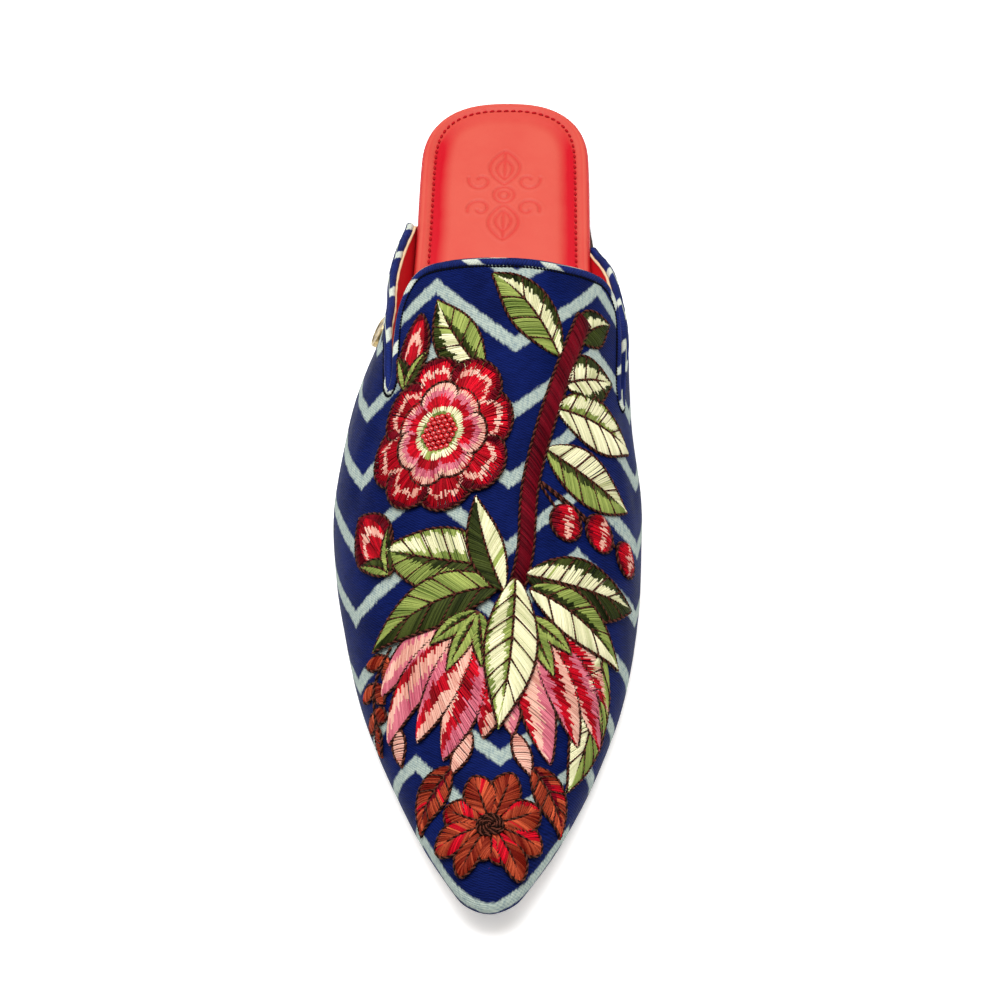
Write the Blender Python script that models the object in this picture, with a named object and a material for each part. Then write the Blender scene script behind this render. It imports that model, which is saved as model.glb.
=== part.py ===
"""Backless pointed-toe mule for the wearer's right foot.

The shoe is drawn the way a last is: short tables give the insole's outline,
the height of the sole and the crest of the upper at named stations, and every
section between them follows a smooth curve. Tables and sizes are in
millimetres; the scene is in metres with +Z up, the toe towards -Y and the
inner (big toe) side towards +X.
"""
import math

import bmesh
import bpy
from mathutils import Vector
from mathutils.geometry import delaunay_2d_cdt

MM = 0.001

# ---- driving sizes ---------------------------------------------------------
LENGTH = 272.0            # insole from the back of the heel to the toe
FIT_GAP = 0.3             # clearance wherever two pieces meet
UPPER_WALL = 2.0          # fabric, stiffener and lining together
OUTSOLE_THICK = 3.5
SOLE_SHOULDER = 0.8       # rounded lower corner of the outsole
HEEL_BREAST = 60.0        # station of the front face of the heel
HEEL_TAPER = 0.9          # how far the heel draws in towards the ground
BREAST_HOLLOW = 2.5
RIM_ROLL = 2.0            # half width of the insole's rolled rim
STITCH_INSET = 3.6        # stitched channel, in from the insole's edge
PIPING_RADIUS = 1.0
PIPING_SINK = 0.9         # piping centre below the upper's outer face
PIPING_EASE = 0.15        # extra clearance round the tight corners
STUD_RADIUS = 4.6
STUD_THICK = 1.2
STUD_LIFT = 0.35          # back of the stud above the upper
STUD_STATION = 101.0
STUD_GIRTH = 60.0         # distance down the side from the crest
FRAME_X = -3.67           # last axis to the middle of the finished shoe
FRAME_Y = 137.15          # heel back to the middle of the finished shoe


def tangents(stations, values):
    """Slopes of a smooth curve through the rows that never overshoots them."""
    steps = [b - a for a, b in zip(stations, stations[1:])]
    rises = [(b - a) / h for a, b, h in zip(values, values[1:], steps)]
    slopes = [0.0] * len(stations)
    for i in range(1, len(stations) - 1):
        if rises[i - 1] * rises[i] > 0.0:
            w1 = 2.0 * steps[i] + steps[i - 1]
            w2 = steps[i] + 2.0 * steps[i - 1]
            slopes[i] = (w1 + w2) / (w1 / rises[i - 1] + w2 / rises[i])
    slopes[0] = rises[0]
    slopes[-1] = rises[-1]
    return slopes


class Table:
    """Rows of sizes at stations along the last, read back as smooth curves."""

    def __init__(self, columns, rows):
        self.stations = [float(row[0]) for row in rows]
        self.columns = {}
        for i, name in enumerate(columns.split()):
            values = [float(row[i + 1]) for row in rows]
            self.columns[name] = (values, tangents(self.stations, values))

    def at(self, name, station):
        """Value of one column at a station, straight on beyond the last row."""
        values, slopes = self.columns[name]
        xs = self.stations
        if station <= xs[0]:
            return values[0] + (station - xs[0]) * slopes[0]
        if station >= xs[-1]:
            return values[-1] + (station - xs[-1]) * slopes[-1]
        i = max(k for k in range(len(xs) - 1) if xs[k] <= station)
        h = xs[i + 1] - xs[i]
        t = (station - xs[i]) / h
        return ((1 + 2 * t) * (1 - t) ** 2 * values[i]
                + t * (1 - t) ** 2 * h * slopes[i]
                + t * t * (3 - 2 * t) * values[i + 1]
                + t * t * (t - 1) * h * slopes[i + 1])


# insole outline: middle of the section from the axis, half of its width
OUTLINE = Table("middle half", [
    (0, -2.2, 23.8), (30, -2.0, 24.9), (55, -1.8, 25.3), (80, -1.8, 26.3),
    (105, -2.4, 29.8), (130, -3.7, 35.9), (152, -3.7, 39.4), (170, -2.9, 38.6),
    (188, -1.9, 36.4), (207, -1.2, 32.8), (224, -0.7, 27.6), (240, -0.2, 21.3),
    (255, 0.1, 13.7), (272, 0.3, 6.2)])
HEEL_ROUND = 24.0         # length of the rounded back
HEEL_SQUARENESS = 2.5     # 2 is an ellipse, more is squarer
TOE_ROUND = 11.0          # length of the rounded tip

# height of the outsole's underside: heel seat, arch, tread, toe spring
SOLE = Table("underside insole", [
    (0, 11.0, 5.0), (30, 11.0, 5.0), (60, 10.4, 4.8), (90, 7.6, 4.2),
    (120, 3.6, 3.6), (150, 0.5, 3.2), (165, 0.0, 3.0), (195, 0.0, 3.0),
    (215, 0.6, 2.8), (240, 2.8, 2.6), (272, 7.0, 2.4)])

# crest of the upper, and how full each side of the section is
CREST = Table("height offset crown wall inner_bulge outer_bulge", [
    (40, 90.0, 0.5, 0.30, 0.60, 16.0, 12.0),
    (75, 80.0, 1.5, 0.40, 0.60, 19.0, 13.0),
    (107, 69.5, 2.5, 0.50, 0.58, 17.0, 12.0),
    (130, 61.5, 2.5, 0.52, 0.55, 9.0, 9.0),
    (152, 53.0, 2.0, 0.52, 0.52, 6.0, 6.5),
    (176, 43.5, 1.0, 0.56, 0.50, 4.5, 5.5),
    (200, 35.0, 0.5, 0.58, 0.50, 3.5, 4.5),
    (225, 28.0, 0.5, 0.60, 0.50, 2.5, 3.0),
    (245, 23.4, 0.4, 0.60, 0.52, 1.8, 2.0),
    (258, 20.0, 0.3, 0.60, 0.55, 1.2, 1.2),
    (266, 17.0, 0.3, 0.60, 0.55, 1.0, 1.0)])
FAN_START = 222.0         # from here on the sections fan out round the toe
FAN_CREST = 264.0         # crest station where the fanned sections end
FAN_LENGTH = 54.0         # column coordinate used up by the fan

# the open edge: station, and distance down the side from the crest
TOPLINE_INNER = [
    (53.0, 83.9), (56.0, 81.9), (62.0, 78.0), (70.0, 73.0), (78.0, 68.0), (86.0, 62.8),
    (94.0, 58.0), (102.0, 53.8), (110.0, 50.2), (118.0, 47.4), (125.0, 45.9),
    (128.6, 44.9), (130.4, 42.6), (129.0, 40.2), (125.5, 39.6), (119.0, 40.6),
    (110.0, 41.8), (104.0, 41.6), (100.2, 38.6), (99.2, 33.0), (100.2, 27.0),
    (103.0, 16.0), (105.2, 7.0)]
TOPLINE_OUTER = [
    (47.0, 85.2), (50.0, 84.0), (56.0, 81.2), (64.0, 76.6), (72.0, 71.3), (80.0, 65.6),
    (88.0, 60.0), (96.0, 55.0), (104.0, 50.6), (112.0, 47.0), (120.0, 43.8),
    (127.5, 41.2), (131.5, 40.1), (134.2, 37.4), (132.4, 34.8), (128.0, 34.2),
    (118.0, 34.8), (109.0, 35.2), (104.6, 33.8), (102.6, 30.0), (102.4, 25.0),
    (104.0, 16.0), (105.4, 7.0)]
TOPLINE_CREST = (106.0, 0.0)


def place(x, station, z):
    """Point of the scene for a point given in last sizes."""
    return Vector(((x - FRAME_X) * MM, (FRAME_Y - station) * MM, z * MM))


def half_width(station):
    """Half the insole's width, rounded off at the heel and at the tip."""
    w = OUTLINE.at("half", station)
    if station < HEEL_ROUND:
        back = 1.0 - station / HEEL_ROUND
        w *= max(0.0, 1.0 - back ** HEEL_SQUARENESS) ** (1.0 / HEEL_SQUARENESS)
    if station > LENGTH - TOE_ROUND:
        tip = (station - (LENGTH - TOE_ROUND)) / TOE_ROUND
        w *= max(0.0, 1.0 - tip * tip) ** 0.5
    return w


def edge(side, margin, count, first=0.0, last=LENGTH):
    """One side of the insole's outline, moved out by margin(station)."""
    points = []
    for i in range(count + 1):
        s = first + (last - first) * (0.5 - 0.5 * math.cos(math.pi * i / count))
        points.append((OUTLINE.at("middle", s) + side * half_width(s), s))
    moved = []
    for i, (x, s) in enumerate(points):
        ahead = points[min(count, i + 1)]
        behind = points[max(0, i - 1)]
        run = (ahead[0] - behind[0], ahead[1] - behind[1])
        if i == 0 and first == 0.0:
            run = (side, 0.0)
        if i == count and last == LENGTH:
            run = (-side, 0.0)
        size = math.hypot(*run)
        m = margin(s)
        moved.append((x + run[1] / size * side * m, s - run[0] / size * side * m))
    return moved


def ramp(value, low, high):
    """Smooth step from 0 at low to 1 at high."""
    t = min(1.0, max(0.0, (value - low) / (high - low)))
    return t * t * (3.0 - 2.0 * t)


def sole_seat(station):
    """Top of the outsole."""
    return SOLE.at("underside", station) + OUTSOLE_THICK


class Fan:
    """Foot and crest of every section on one side of the upper."""

    def __init__(self, side):
        self.side = side
        reach = FIT_GAP + UPPER_WALL
        self.feather = edge(side, lambda s: reach, 160)[::-1]
        self.run = [0.0]
        for a, b in zip(self.feather, self.feather[1:]):
            self.run.append(self.run[-1] + math.dist(a, b))
        self.fan_run = self.run_at(FAN_START)
        near = self.point_at(self.fan_run - 0.5)
        far = self.point_at(self.fan_run + 0.5)
        pace = abs(far[1] - near[1]) * self.fan_run / (FAN_CREST - FAN_START)
        self.cubic = pace - 2.0
        self.square = 3.0 - pace

    def point_at(self, run):
        """Point of the feather line a distance back from the tip."""
        i = max(k for k in range(len(self.run) - 1) if self.run[k] <= max(run, 0.0))
        t = (run - self.run[i]) / (self.run[i + 1] - self.run[i])
        a, b = self.feather[i], self.feather[i + 1]
        return (a[0] + (b[0] - a[0]) * t, a[1] + (b[1] - a[1]) * t)

    def run_at(self, station):
        """Distance from the tip to a station along the feather line."""
        for i, (a, b) in enumerate(zip(self.feather, self.feather[1:])):
            if a[1] >= station >= b[1]:
                t = (a[1] - station) / (a[1] - b[1])
                return self.run[i] + (self.run[i + 1] - self.run[i]) * t
        return self.run[-1]

    def section(self, column):
        """Foot point and crest station of the section at a column."""
        if column <= FAN_START:
            return self.point_at(self.run_at(column)), column
        p = max(0.0, 1.0 - (column - FAN_START) / FAN_LENGTH)
        back = self.square * p * p + self.cubic * p ** 3
        return self.point_at(self.fan_run * p), FAN_CREST - (FAN_CREST - FAN_START) * back


class Section:
    """One half section of the upper, from the crest down to the feather."""

    STEPS = 40

    def __init__(self, fan, column):
        foot, crest = fan.section(column)
        top = (CREST.at("offset", crest), crest)
        seat = sole_seat(foot[1]) + FIT_GAP
        width = math.dist(foot, top)
        aim = ((foot[0] - top[0]) / width, (foot[1] - top[1]) / width)
        height = CREST.at("height", crest) - seat
        fall = CREST.at("height", crest + 0.5) - CREST.at("height", crest - 0.5)
        reach = CREST.at("crown", crest) * width
        bulge = CREST.at("inner_bulge" if fan.side > 0 else "outer_bulge", crest)
        handles = [(0.0, height), (reach, height + fall * aim[1] * reach),
                   (width + bulge, CREST.at("wall", crest) * height), (width, 0.0)]
        self.points = []
        for i in range(self.STEPS + 1):
            t = i / self.STEPS
            mix = ((1 - t) ** 3, 3 * t * (1 - t) ** 2, 3 * t * t * (1 - t), t ** 3)
            out = sum(m * h[0] for m, h in zip(mix, handles))
            up = sum(m * h[1] for m, h in zip(mix, handles))
            self.points.append(Vector((top[0] + aim[0] * out, top[1] + aim[1] * out,
                                       seat + up)))
        self.lengths = [0.0]
        for a, b in zip(self.points, self.points[1:]):
            self.lengths.append(self.lengths[-1] + (b - a).length)
        self.girth = self.lengths[-1]

    def at(self, girth):
        """Point a distance down the side from the crest."""
        girth = min(max(girth, 0.0), self.girth)
        i = max(k for k in range(self.STEPS) if self.lengths[k] <= girth)
        t = (girth - self.lengths[i]) / (self.lengths[i + 1] - self.lengths[i])
        return self.points[i].lerp(self.points[i + 1], t)


class Upper:
    """The upper's outer face, addressed by column and signed girth."""

    TIP = FAN_START + FAN_LENGTH

    def __init__(self):
        self.fans = {1: Fan(1), -1: Fan(-1)}
        self.sections = {}

    def section(self, side, column):
        """Section at a column, worked out once."""
        if column > self.TIP - 1e-6:
            side, column = 1, self.TIP
        key = (side, round(column, 3))
        if key not in self.sections:
            self.sections[key] = Section(self.fans[side], column)
        return self.sections[key]

    def at(self, column, girth):
        """Last point at a column; the girth is positive on the inner side."""
        side = 1 if girth >= 0.0 else -1
        return self.section(side, column).at(abs(girth))

    def normal(self, column, girth):
        """Outward unit normal of the outer face, in last axes."""
        across = self.at(column, girth + 0.6) - self.at(column, girth - 0.6)
        along = self.at(column + 0.6, girth) - self.at(column - 0.6, girth)
        return across.cross(along).normalized()


def smooth_path(points, spacing):
    """Rounded path through points, sampled about every spacing."""
    path = []
    ends = [points[0]] + list(points) + [points[-1]]
    for a, b, c, d in zip(ends, ends[1:], ends[2:], ends[3:]):
        count = max(1, round(math.dist(b, c) / spacing))
        for i in range(count):
            t = i / count
            path.append(tuple(0.5 * (2 * q + (r - p) * t
                                     + (2 * p - 5 * q + 4 * r - w) * t * t
                                     + (3 * q - p - 3 * r + w) * t ** 3)
                              for p, q, r, w in zip(a, b, c, d)))
    path.append(tuple(points[-1]))
    return path


def topline(spacing):
    """The whole open edge, inner wing end to outer wing end, as (column, girth)."""
    inner = [(s, g) for s, g in TOPLINE_INNER]
    outer = [(s, -g) for s, g in reversed(TOPLINE_OUTER)]
    return smooth_path(inner + [TOPLINE_CREST] + outer, spacing)


def add_object(name, bm, colour, roughness, metallic=0.0):
    """Turn a finished bmesh into a named object with its own material."""
    bmesh.ops.recalc_face_normals(bm, faces=bm.faces)
    mesh = bpy.data.meshes.new(name)
    bm.to_mesh(mesh)
    bm.free()
    obj = bpy.data.objects.new(name, mesh)
    bpy.context.scene.collection.objects.link(obj)
    material = bpy.data.materials.new(name + "_material")
    material.use_nodes = True
    shader = material.node_tree.nodes["Principled BSDF"]
    shader.inputs["Base Color"].default_value = (*colour, 1.0)
    shader.inputs["Roughness"].default_value = roughness
    shader.inputs["Metallic"].default_value = metallic
    mesh.materials.append(material)
    return obj


def slab(levels, count):
    """Closed solid from outline levels, each a (margin, height) pair of functions."""
    bm = bmesh.new()
    rings = []
    for margin, height in levels:
        inner = edge(1, margin, count)
        outer = edge(-1, margin, count)
        ring = inner + outer[-2:0:-1]
        rings.append([bm.verts.new(place(x, s, height(s))) for x, s in ring])
    size = 2 * count
    for low, high in zip(rings, rings[1:]):
        for i in range(size):
            j = (i + 1) % size
            bm.faces.new((low[i], low[j], high[j], high[i]))
    for ring in (rings[0], rings[-1]):
        for i in range(count):
            corners = [ring[i], ring[i + 1], ring[(size - i - 1) % size], ring[(size - i) % size]]
            corners = [v for k, v in enumerate(corners) if v not in corners[:k]]
            bm.faces.new(corners)
    return bm


def build_outsole():
    """Outsole: one bent slab, flat under the ball, sprung at the toe."""
    def margin(s):
        return -0.4 + 2.0 * ramp(s, 38.0, 62.0)

    def level(inset, rise):
        return (lambda s: margin(s) - inset, lambda s: SOLE.at("underside", s) + rise)

    levels = [level(SOLE_SHOULDER, 0.0), level(0.2, 0.35 * SOLE_SHOULDER),
              level(0.0, SOLE_SHOULDER), level(0.0, OUTSOLE_THICK - 0.4),
              level(0.4, OUTSOLE_THICK)]
    return add_object("outsole", slab(levels, 44), (0.035, 0.022, 0.017), 0.6)


def build_insole():
    """Leather-covered insole with a rolled rim and a stitched channel."""
    def level(inset, share, drop):
        def margin(s):
            draw_in = 1.0 - 0.72 * ramp(s, LENGTH - 60.0, LENGTH - 20.0)
            return -inset * draw_in - 2.2 * ramp(s, LENGTH - 30.0, LENGTH)

        def height(s):
            thick = SOLE.at("insole", s)
            return sole_seat(s) + FIT_GAP + thick * share - drop * thick / 5.0

        return margin, height

    levels = [level(0.9, 0.0, 0.0), level(0.25, 0.14, 0.0), level(0.0, 0.36, 0.0),
              level(0.0, 0.66, 0.0), level(0.45, 0.86, 0.0), level(1.2, 0.97, 0.0),
              level(RIM_ROLL, 1.0, 0.0), level(3.0, 0.97, 0.0),
              level(STITCH_INSET, 0.9, 0.0), level(4.5, 0.84, 0.0),
              level(6.2, 0.9, 0.0), level(9.0, 0.93, 0.0), level(15.0, 0.9, 0.0)]
    return add_object("insole", slab(levels, 44), (0.82, 0.10, 0.075), 0.45)


def build_heel():
    """Low heel block with a hollowed breast and a flat ground face."""
    count = 18
    bm = bmesh.new()
    profile = [(HEEL_TAPER + 1.5, 0.0), (HEEL_TAPER + 0.9, 0.5), (HEEL_TAPER + 0.8, 3.0),
               (HEEL_TAPER + 1.1, 3.15), (HEEL_TAPER + 1.1, 3.45), (HEEL_TAPER + 0.75, 3.6),
               (0.9, None)]
    rings = []
    for inset, height in profile:
        inner = edge(1, lambda s: -inset, count, 0.0, HEEL_BREAST)
        outer = edge(-1, lambda s: -inset, count, 0.0, HEEL_BREAST)
        breast = []
        for i in range(1, 8):
            t = i / 8
            hollow = BREAST_HOLLOW * 4.0 * t * (1.0 - t)
            breast.append((inner[-1][0] + (outer[-1][0] - inner[-1][0]) * t,
                           HEEL_BREAST - hollow))
        ring = inner + breast + outer[:0:-1]
        rings.append([bm.verts.new(place(x, s, height if height is not None
                                         else SOLE.at("underside", s) - FIT_GAP))
                      for x, s in ring])
    size = len(rings[0])
    for low, high in zip(rings, rings[1:]):
        for i in range(size):
            j = (i + 1) % size
            bm.faces.new((low[i], low[j], high[j], high[i]))
    split = count - 4
    for ring in (rings[0], rings[-1]):
        for i in range(split):
            corners = [ring[i], ring[i + 1], ring[(size - i - 1) % size], ring[(size - i) % size]]
            corners = [v for k, v in enumerate(corners) if v not in corners[:k]]
            bm.faces.new(corners)
        bm.faces.new(ring[split:size - split + 1])
    bmesh.ops.triangulate(bm, faces=[f for f in bm.faces if len(f.verts) > 4])
    return add_object("heel", bm, (0.05, 0.03, 0.022), 0.55)


def inside(polygon, point):
    """Whether a point lies within a closed polygon."""
    hit = False
    for a, b in zip(polygon, polygon[1:] + polygon[:1]):
        if (a[1] > point[1]) != (b[1] > point[1]):
            if point[0] < a[0] + (b[0] - a[0]) * (point[1] - a[1]) / (b[1] - a[1]):
                hit = not hit
    return hit


def clear_of(polygon, point, distance):
    """Whether a point keeps a distance from a polygon's corners and edges."""
    p = Vector(point)
    for a, b in zip(polygon, polygon[1:] + polygon[:1]):
        a, b = Vector(a), Vector(b)
        run = b - a
        t = min(1.0, max(0.0, (p - a).dot(run) / run.length_squared))
        if (p - a - run * t).length < distance:
            return False
    return True


def pitch(column, spacing):
    """Facet size at a column: finer where the toe turns tightly."""
    return spacing * (1.0 - 0.3 * ramp(column, 185.0, 215.0) - 0.25 * ramp(column, 235.0, 260.0))


def upper_pattern(upper, spacing, edge_spacing):
    """Outline of the upper laid flat, as (column, signed girth) corners."""
    corners = topline(edge_spacing)
    start, end = corners[0][0], corners[-1][0]

    def feather(side, low):
        columns = [low]
        while columns[-1] < upper.TIP - 1.4 * pitch(columns[-1], spacing):
            columns.append(columns[-1] + pitch(columns[-1], spacing))
        columns.append(upper.TIP)
        return [(c, side * upper.section(side, c).girth) for c in columns]

    outer = feather(-1, end - 2.0)
    inner = feather(1, start - 2.0)
    girth = upper.section(1, upper.TIP).girth
    seam = [(upper.TIP, girth * k / 4) for k in range(-3, 4)]
    return corners + outer + seam + inner[::-1]


def build_upper(upper):
    """The upper: one hollow shell, open at the throat and underneath."""
    spacing = 5.2
    polygon = upper_pattern(upper, spacing, 3.4)
    points = list(polygon)
    column = 52.0
    while column < upper.TIP:
        step = pitch(column, spacing)
        reach = math.floor(90.0 / step)
        for i in range(-reach, reach + 1):
            point = (column, i * step)
            if inside(polygon, point) and clear_of(polygon, point, 0.5 * step):
                points.append(point)
        column += step
    edges = [(i, (i + 1) % len(polygon)) for i in range(len(polygon))]
    flat, _, faces, _, _, _ = delaunay_2d_cdt([Vector(p) for p in points], edges, [], 1, 1e-5)
    bm = bmesh.new()
    verts = [bm.verts.new(place(*upper.at(p[0], p[1]))) for p in flat]
    for face in faces:
        bm.faces.new([verts[i] for i in face])
    bmesh.ops.remove_doubles(bm, verts=bm.verts, dist=1e-5)
    bmesh.ops.recalc_face_normals(bm, faces=bm.faces)
    crest = max(bm.faces, key=lambda f: f.calc_center_median().z)
    if crest.normal.z < 0.0:
        bmesh.ops.reverse_faces(bm, faces=bm.faces)
    thicken(bm, UPPER_WALL * MM)
    return add_object("upper", bm, (0.03, 0.05, 0.30), 0.6)


def on_feather(co):
    """Whether a scene point lies on the upper's bottom edge."""
    station = FRAME_Y - co.y / MM
    return abs(co.z / MM - sole_seat(station) - FIT_GAP) < 0.05


def thicken(bm, wall):
    """Give an outward-facing sheet a wall on its inner side, level at the feather."""
    bm.normal_update()
    sheet = list(bm.faces)
    rim = [e for e in bm.edges if e.is_boundary]
    inner = {}
    for v in list(bm.verts):
        inward = -v.normal
        if v.is_boundary and on_feather(v.co):
            inward = Vector((inward.x, inward.y, 0.0)).normalized()
        inner[v] = bm.verts.new(v.co + inward * wall)
    for e in rim:
        a, b = e.verts
        bm.faces.new((a, b, inner[b], inner[a]))
    for f in sheet:
        bm.faces.new([inner[v] for v in reversed(f.verts)])


def tube(path, radius, sides):
    """Capped round cord along a path of last points."""
    bm = bmesh.new()
    rings = []
    turn = None
    for i, point in enumerate(path):
        ahead = (path[min(len(path) - 1, i + 1)] - path[max(0, i - 1)]).normalized()
        if turn is None:
            turn = ahead.orthogonal().normalized()
        turn = (turn - ahead * turn.dot(ahead)).normalized()
        across = ahead.cross(turn)
        ring = []
        for k in range(sides):
            angle = 2.0 * math.pi * k / sides
            spot = point + (turn * math.cos(angle) + across * math.sin(angle)) * radius
            ring.append(bm.verts.new(place(*spot)))
        rings.append(ring)
    for low, high in zip(rings, rings[1:]):
        for k in range(sides):
            j = (k + 1) % sides
            bm.faces.new((low[k], low[j], high[j], high[k]))
    bm.faces.new(rings[0][::-1])
    bm.faces.new(rings[-1])
    return bm


def piping_path(upper, spacing):
    """Centre line of the piping: just off the rim, all along the open edge."""
    flat = topline(spacing)
    points = [upper.at(*p) for p in flat]
    path = []
    for i, p in enumerate(flat):
        ahead = (points[min(len(flat) - 1, i + 1)] - points[max(0, i - 1)]).normalized()
        normal = upper.normal(*p)
        out = ahead.cross(normal).normalized()
        path.append((points[i], out, normal))
    if path[len(path) // 2][1].y > 0.0:
        path = [(p, -out, n) for p, out, n in path]
    reach = PIPING_RADIUS + FIT_GAP + PIPING_EASE
    return [p + out * reach - n * PIPING_SINK for p, out, n in path]


def build_piping(upper):
    """Piping sewn round the open edge in one length."""
    path = piping_path(upper, 2.6)
    return add_object("topline_piping", tube(path, PIPING_RADIUS, 8), (0.03, 0.05, 0.30), 0.6)


def build_stud(upper):
    """Small round stud with a raised rim on the outer side."""
    centre = upper.at(STUD_STATION, -STUD_GIRTH)
    axis = upper.normal(STUD_STATION, -STUD_GIRTH)
    turn = axis.orthogonal().normalized()
    across = axis.cross(turn)
    profile = [(STUD_RADIUS - 0.3, 0.0), (STUD_RADIUS, 0.3), (STUD_RADIUS, STUD_THICK - 0.3),
               (STUD_RADIUS - 0.3, STUD_THICK), (STUD_RADIUS - 1.0, STUD_THICK),
               (STUD_RADIUS - 1.3, STUD_THICK - 0.25), (1.6, STUD_THICK - 0.15)]
    bm = bmesh.new()
    rings = []
    for radius, height in profile:
        ring = []
        for k in range(20):
            angle = 2.0 * math.pi * k / 20
            spot = (centre + axis * (STUD_LIFT + height)
                    + (turn * math.cos(angle) + across * math.sin(angle)) * radius)
            ring.append(bm.verts.new(place(*spot)))
        rings.append(ring)
    for low, high in zip(rings, rings[1:]):
        for k in range(20):
            j = (k + 1) % 20
            bm.faces.new((low[k], low[j], high[j], high[k]))
    bm.faces.new(rings[0][::-1])
    bm.faces.new(rings[-1])
    return add_object("side_stud", bm, (0.75, 0.55, 0.22), 0.3, 1.0)


def main():
    """Clear the scene and build every piece of the shoe."""
    for obj in list(bpy.data.objects):
        bpy.data.objects.remove(obj, do_unlink=True)
    upper = Upper()
    build_outsole()
    build_heel()
    build_insole()
    build_upper(upper)
    build_piping(upper)
    build_stud(upper)


main()
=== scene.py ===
"""Looks of an embroidered pointed-toe mule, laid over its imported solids.

The last is drawn again from its own short tables, so that the cloth, the
piping and every stitch lie on the same curved faces as the solids they stand
for. Tables and sizes are in millimetres and the scene is in metres: +Z is up,
the toe points to -Y and the inner (big toe) side is +X.
"""
import logging
import math
from dataclasses import dataclass, field
from enum import Enum
from functools import lru_cache
from typing import Callable, Iterable, Mapping, Optional, Sequence, Union

import bmesh
import bpy
import numpy as np
from bmesh.types import BMesh, BMVert
from bpy.types import (Material, Mesh, Node, NodeSocket, NodeTree, NodeTreeInterfaceSocket,
                       Object)
from mathutils import Matrix, Vector
from mathutils.geometry import delaunay_2d_cdt


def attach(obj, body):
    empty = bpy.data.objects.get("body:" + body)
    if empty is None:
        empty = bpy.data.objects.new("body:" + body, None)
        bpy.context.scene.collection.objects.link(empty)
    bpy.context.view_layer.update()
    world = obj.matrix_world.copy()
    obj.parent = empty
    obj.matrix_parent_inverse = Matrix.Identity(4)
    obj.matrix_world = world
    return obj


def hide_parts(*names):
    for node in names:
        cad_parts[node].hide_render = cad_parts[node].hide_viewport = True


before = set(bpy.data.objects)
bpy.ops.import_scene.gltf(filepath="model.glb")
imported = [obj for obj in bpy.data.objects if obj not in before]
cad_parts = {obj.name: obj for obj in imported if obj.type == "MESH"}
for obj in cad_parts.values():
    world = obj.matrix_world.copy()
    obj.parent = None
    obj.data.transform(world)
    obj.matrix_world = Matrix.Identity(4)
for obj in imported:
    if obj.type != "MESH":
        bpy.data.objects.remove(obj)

LOG = logging.getLogger("mule")
MM = 0.001
BODY = "root"
Array = np.ndarray
Colour = tuple[float, float, float]
Spot = tuple[float, float]
Value = Union[float, Array]
Outputs = Mapping[str, NodeSocket]
Surface = dict[str, object]

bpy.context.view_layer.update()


# ---- the last ---------------------------------------------------------------
def tangents(stations: Array, values: Array) -> Array:
    """Slopes of a smooth curve through the rows that never overshoots them.

    Args:
        stations: Places of the rows along the last.
        values: One size at each of them.

    Returns:
        The slope at each row.
    """
    steps = np.diff(stations)
    rises = np.diff(values) / steps
    slopes = np.zeros(len(stations))
    for i in range(1, len(stations) - 1):
        if rises[i - 1] * rises[i] > 0.0:
            before = 2.0 * steps[i] + steps[i - 1]
            after = steps[i] + 2.0 * steps[i - 1]
            slopes[i] = (before + after) / (before / rises[i - 1] + after / rises[i])
    slopes[0] = rises[0]
    slopes[-1] = rises[-1]
    return slopes


class Table:
    """Rows of sizes at stations along the last, read back as smooth curves."""

    def __init__(self, columns: str, rows: Sequence[Sequence[float]]) -> None:
        """Keep the rows.

        Args:
            columns: Names of the sizes, with a space between them.
            rows: A station and its sizes in each row.
        """
        grid = np.array(rows, float)
        self.stations = grid[:, 0]
        self.columns = {name: (grid[:, i + 1], tangents(self.stations, grid[:, i + 1]))
                        for i, name in enumerate(columns.split())}

    def at(self, name: str, station: Value) -> Array:
        """Value of one column at stations, straight on beyond the last row.

        Args:
            name: The column.
            station: One station or many.

        Returns:
            The column's value at each station.
        """
        values, slopes = self.columns[name]
        xs = self.stations
        x = np.asarray(station, float)
        i = np.clip(np.searchsorted(xs, x, side="right") - 1, 0, len(xs) - 2)
        h = xs[i + 1] - xs[i]
        t = (x - xs[i]) / h
        curve = ((1 + 2 * t) * (1 - t) ** 2 * values[i] + t * (1 - t) ** 2 * h * slopes[i]
                 + t * t * (3 - 2 * t) * values[i + 1] + t * t * (t - 1) * h * slopes[i + 1])
        low = values[0] + (x - xs[0]) * slopes[0]
        high = values[-1] + (x - xs[-1]) * slopes[-1]
        return np.where(x <= xs[0], low, np.where(x >= xs[-1], high, curve))


def ramp(value: Value, low: float, high: float) -> Array:
    """Smooth step from 0 at low to 1 at high."""
    t = np.clip((np.asarray(value, float) - low) / (high - low), 0.0, 1.0)
    return t * t * (3.0 - 2.0 * t)


def bell(distance: Value, reach: float) -> Array:
    """Soft hump of height 1 that has died away at about twice its reach."""
    return np.exp(-(np.asarray(distance, float) / reach) ** 2)


def unit(vectors: Array) -> Array:
    """The same vectors, one unit long."""
    return vectors / np.maximum(np.linalg.norm(vectors, axis=-1, keepdims=True), 1e-12)


def distance_along(path: Array) -> Array:
    """Distance along a path to each of its points."""
    return np.concatenate([[0.0], np.cumsum(np.linalg.norm(np.diff(path, axis=0), axis=1))])


def leftward(path: Array) -> Array:
    """Flat unit vectors to the left of a flat path as it runs."""
    run = unit(np.gradient(path, axis=0))
    return np.stack([-run[:, 1], run[:, 0]], 1)


def circle(count: int) -> Array:
    """Points once round a circle of radius 1, ending where they begin."""
    turn = np.linspace(0.0, 2.0 * math.pi, count)
    return np.stack([np.cos(turn), np.sin(turn)], 1)


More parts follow.
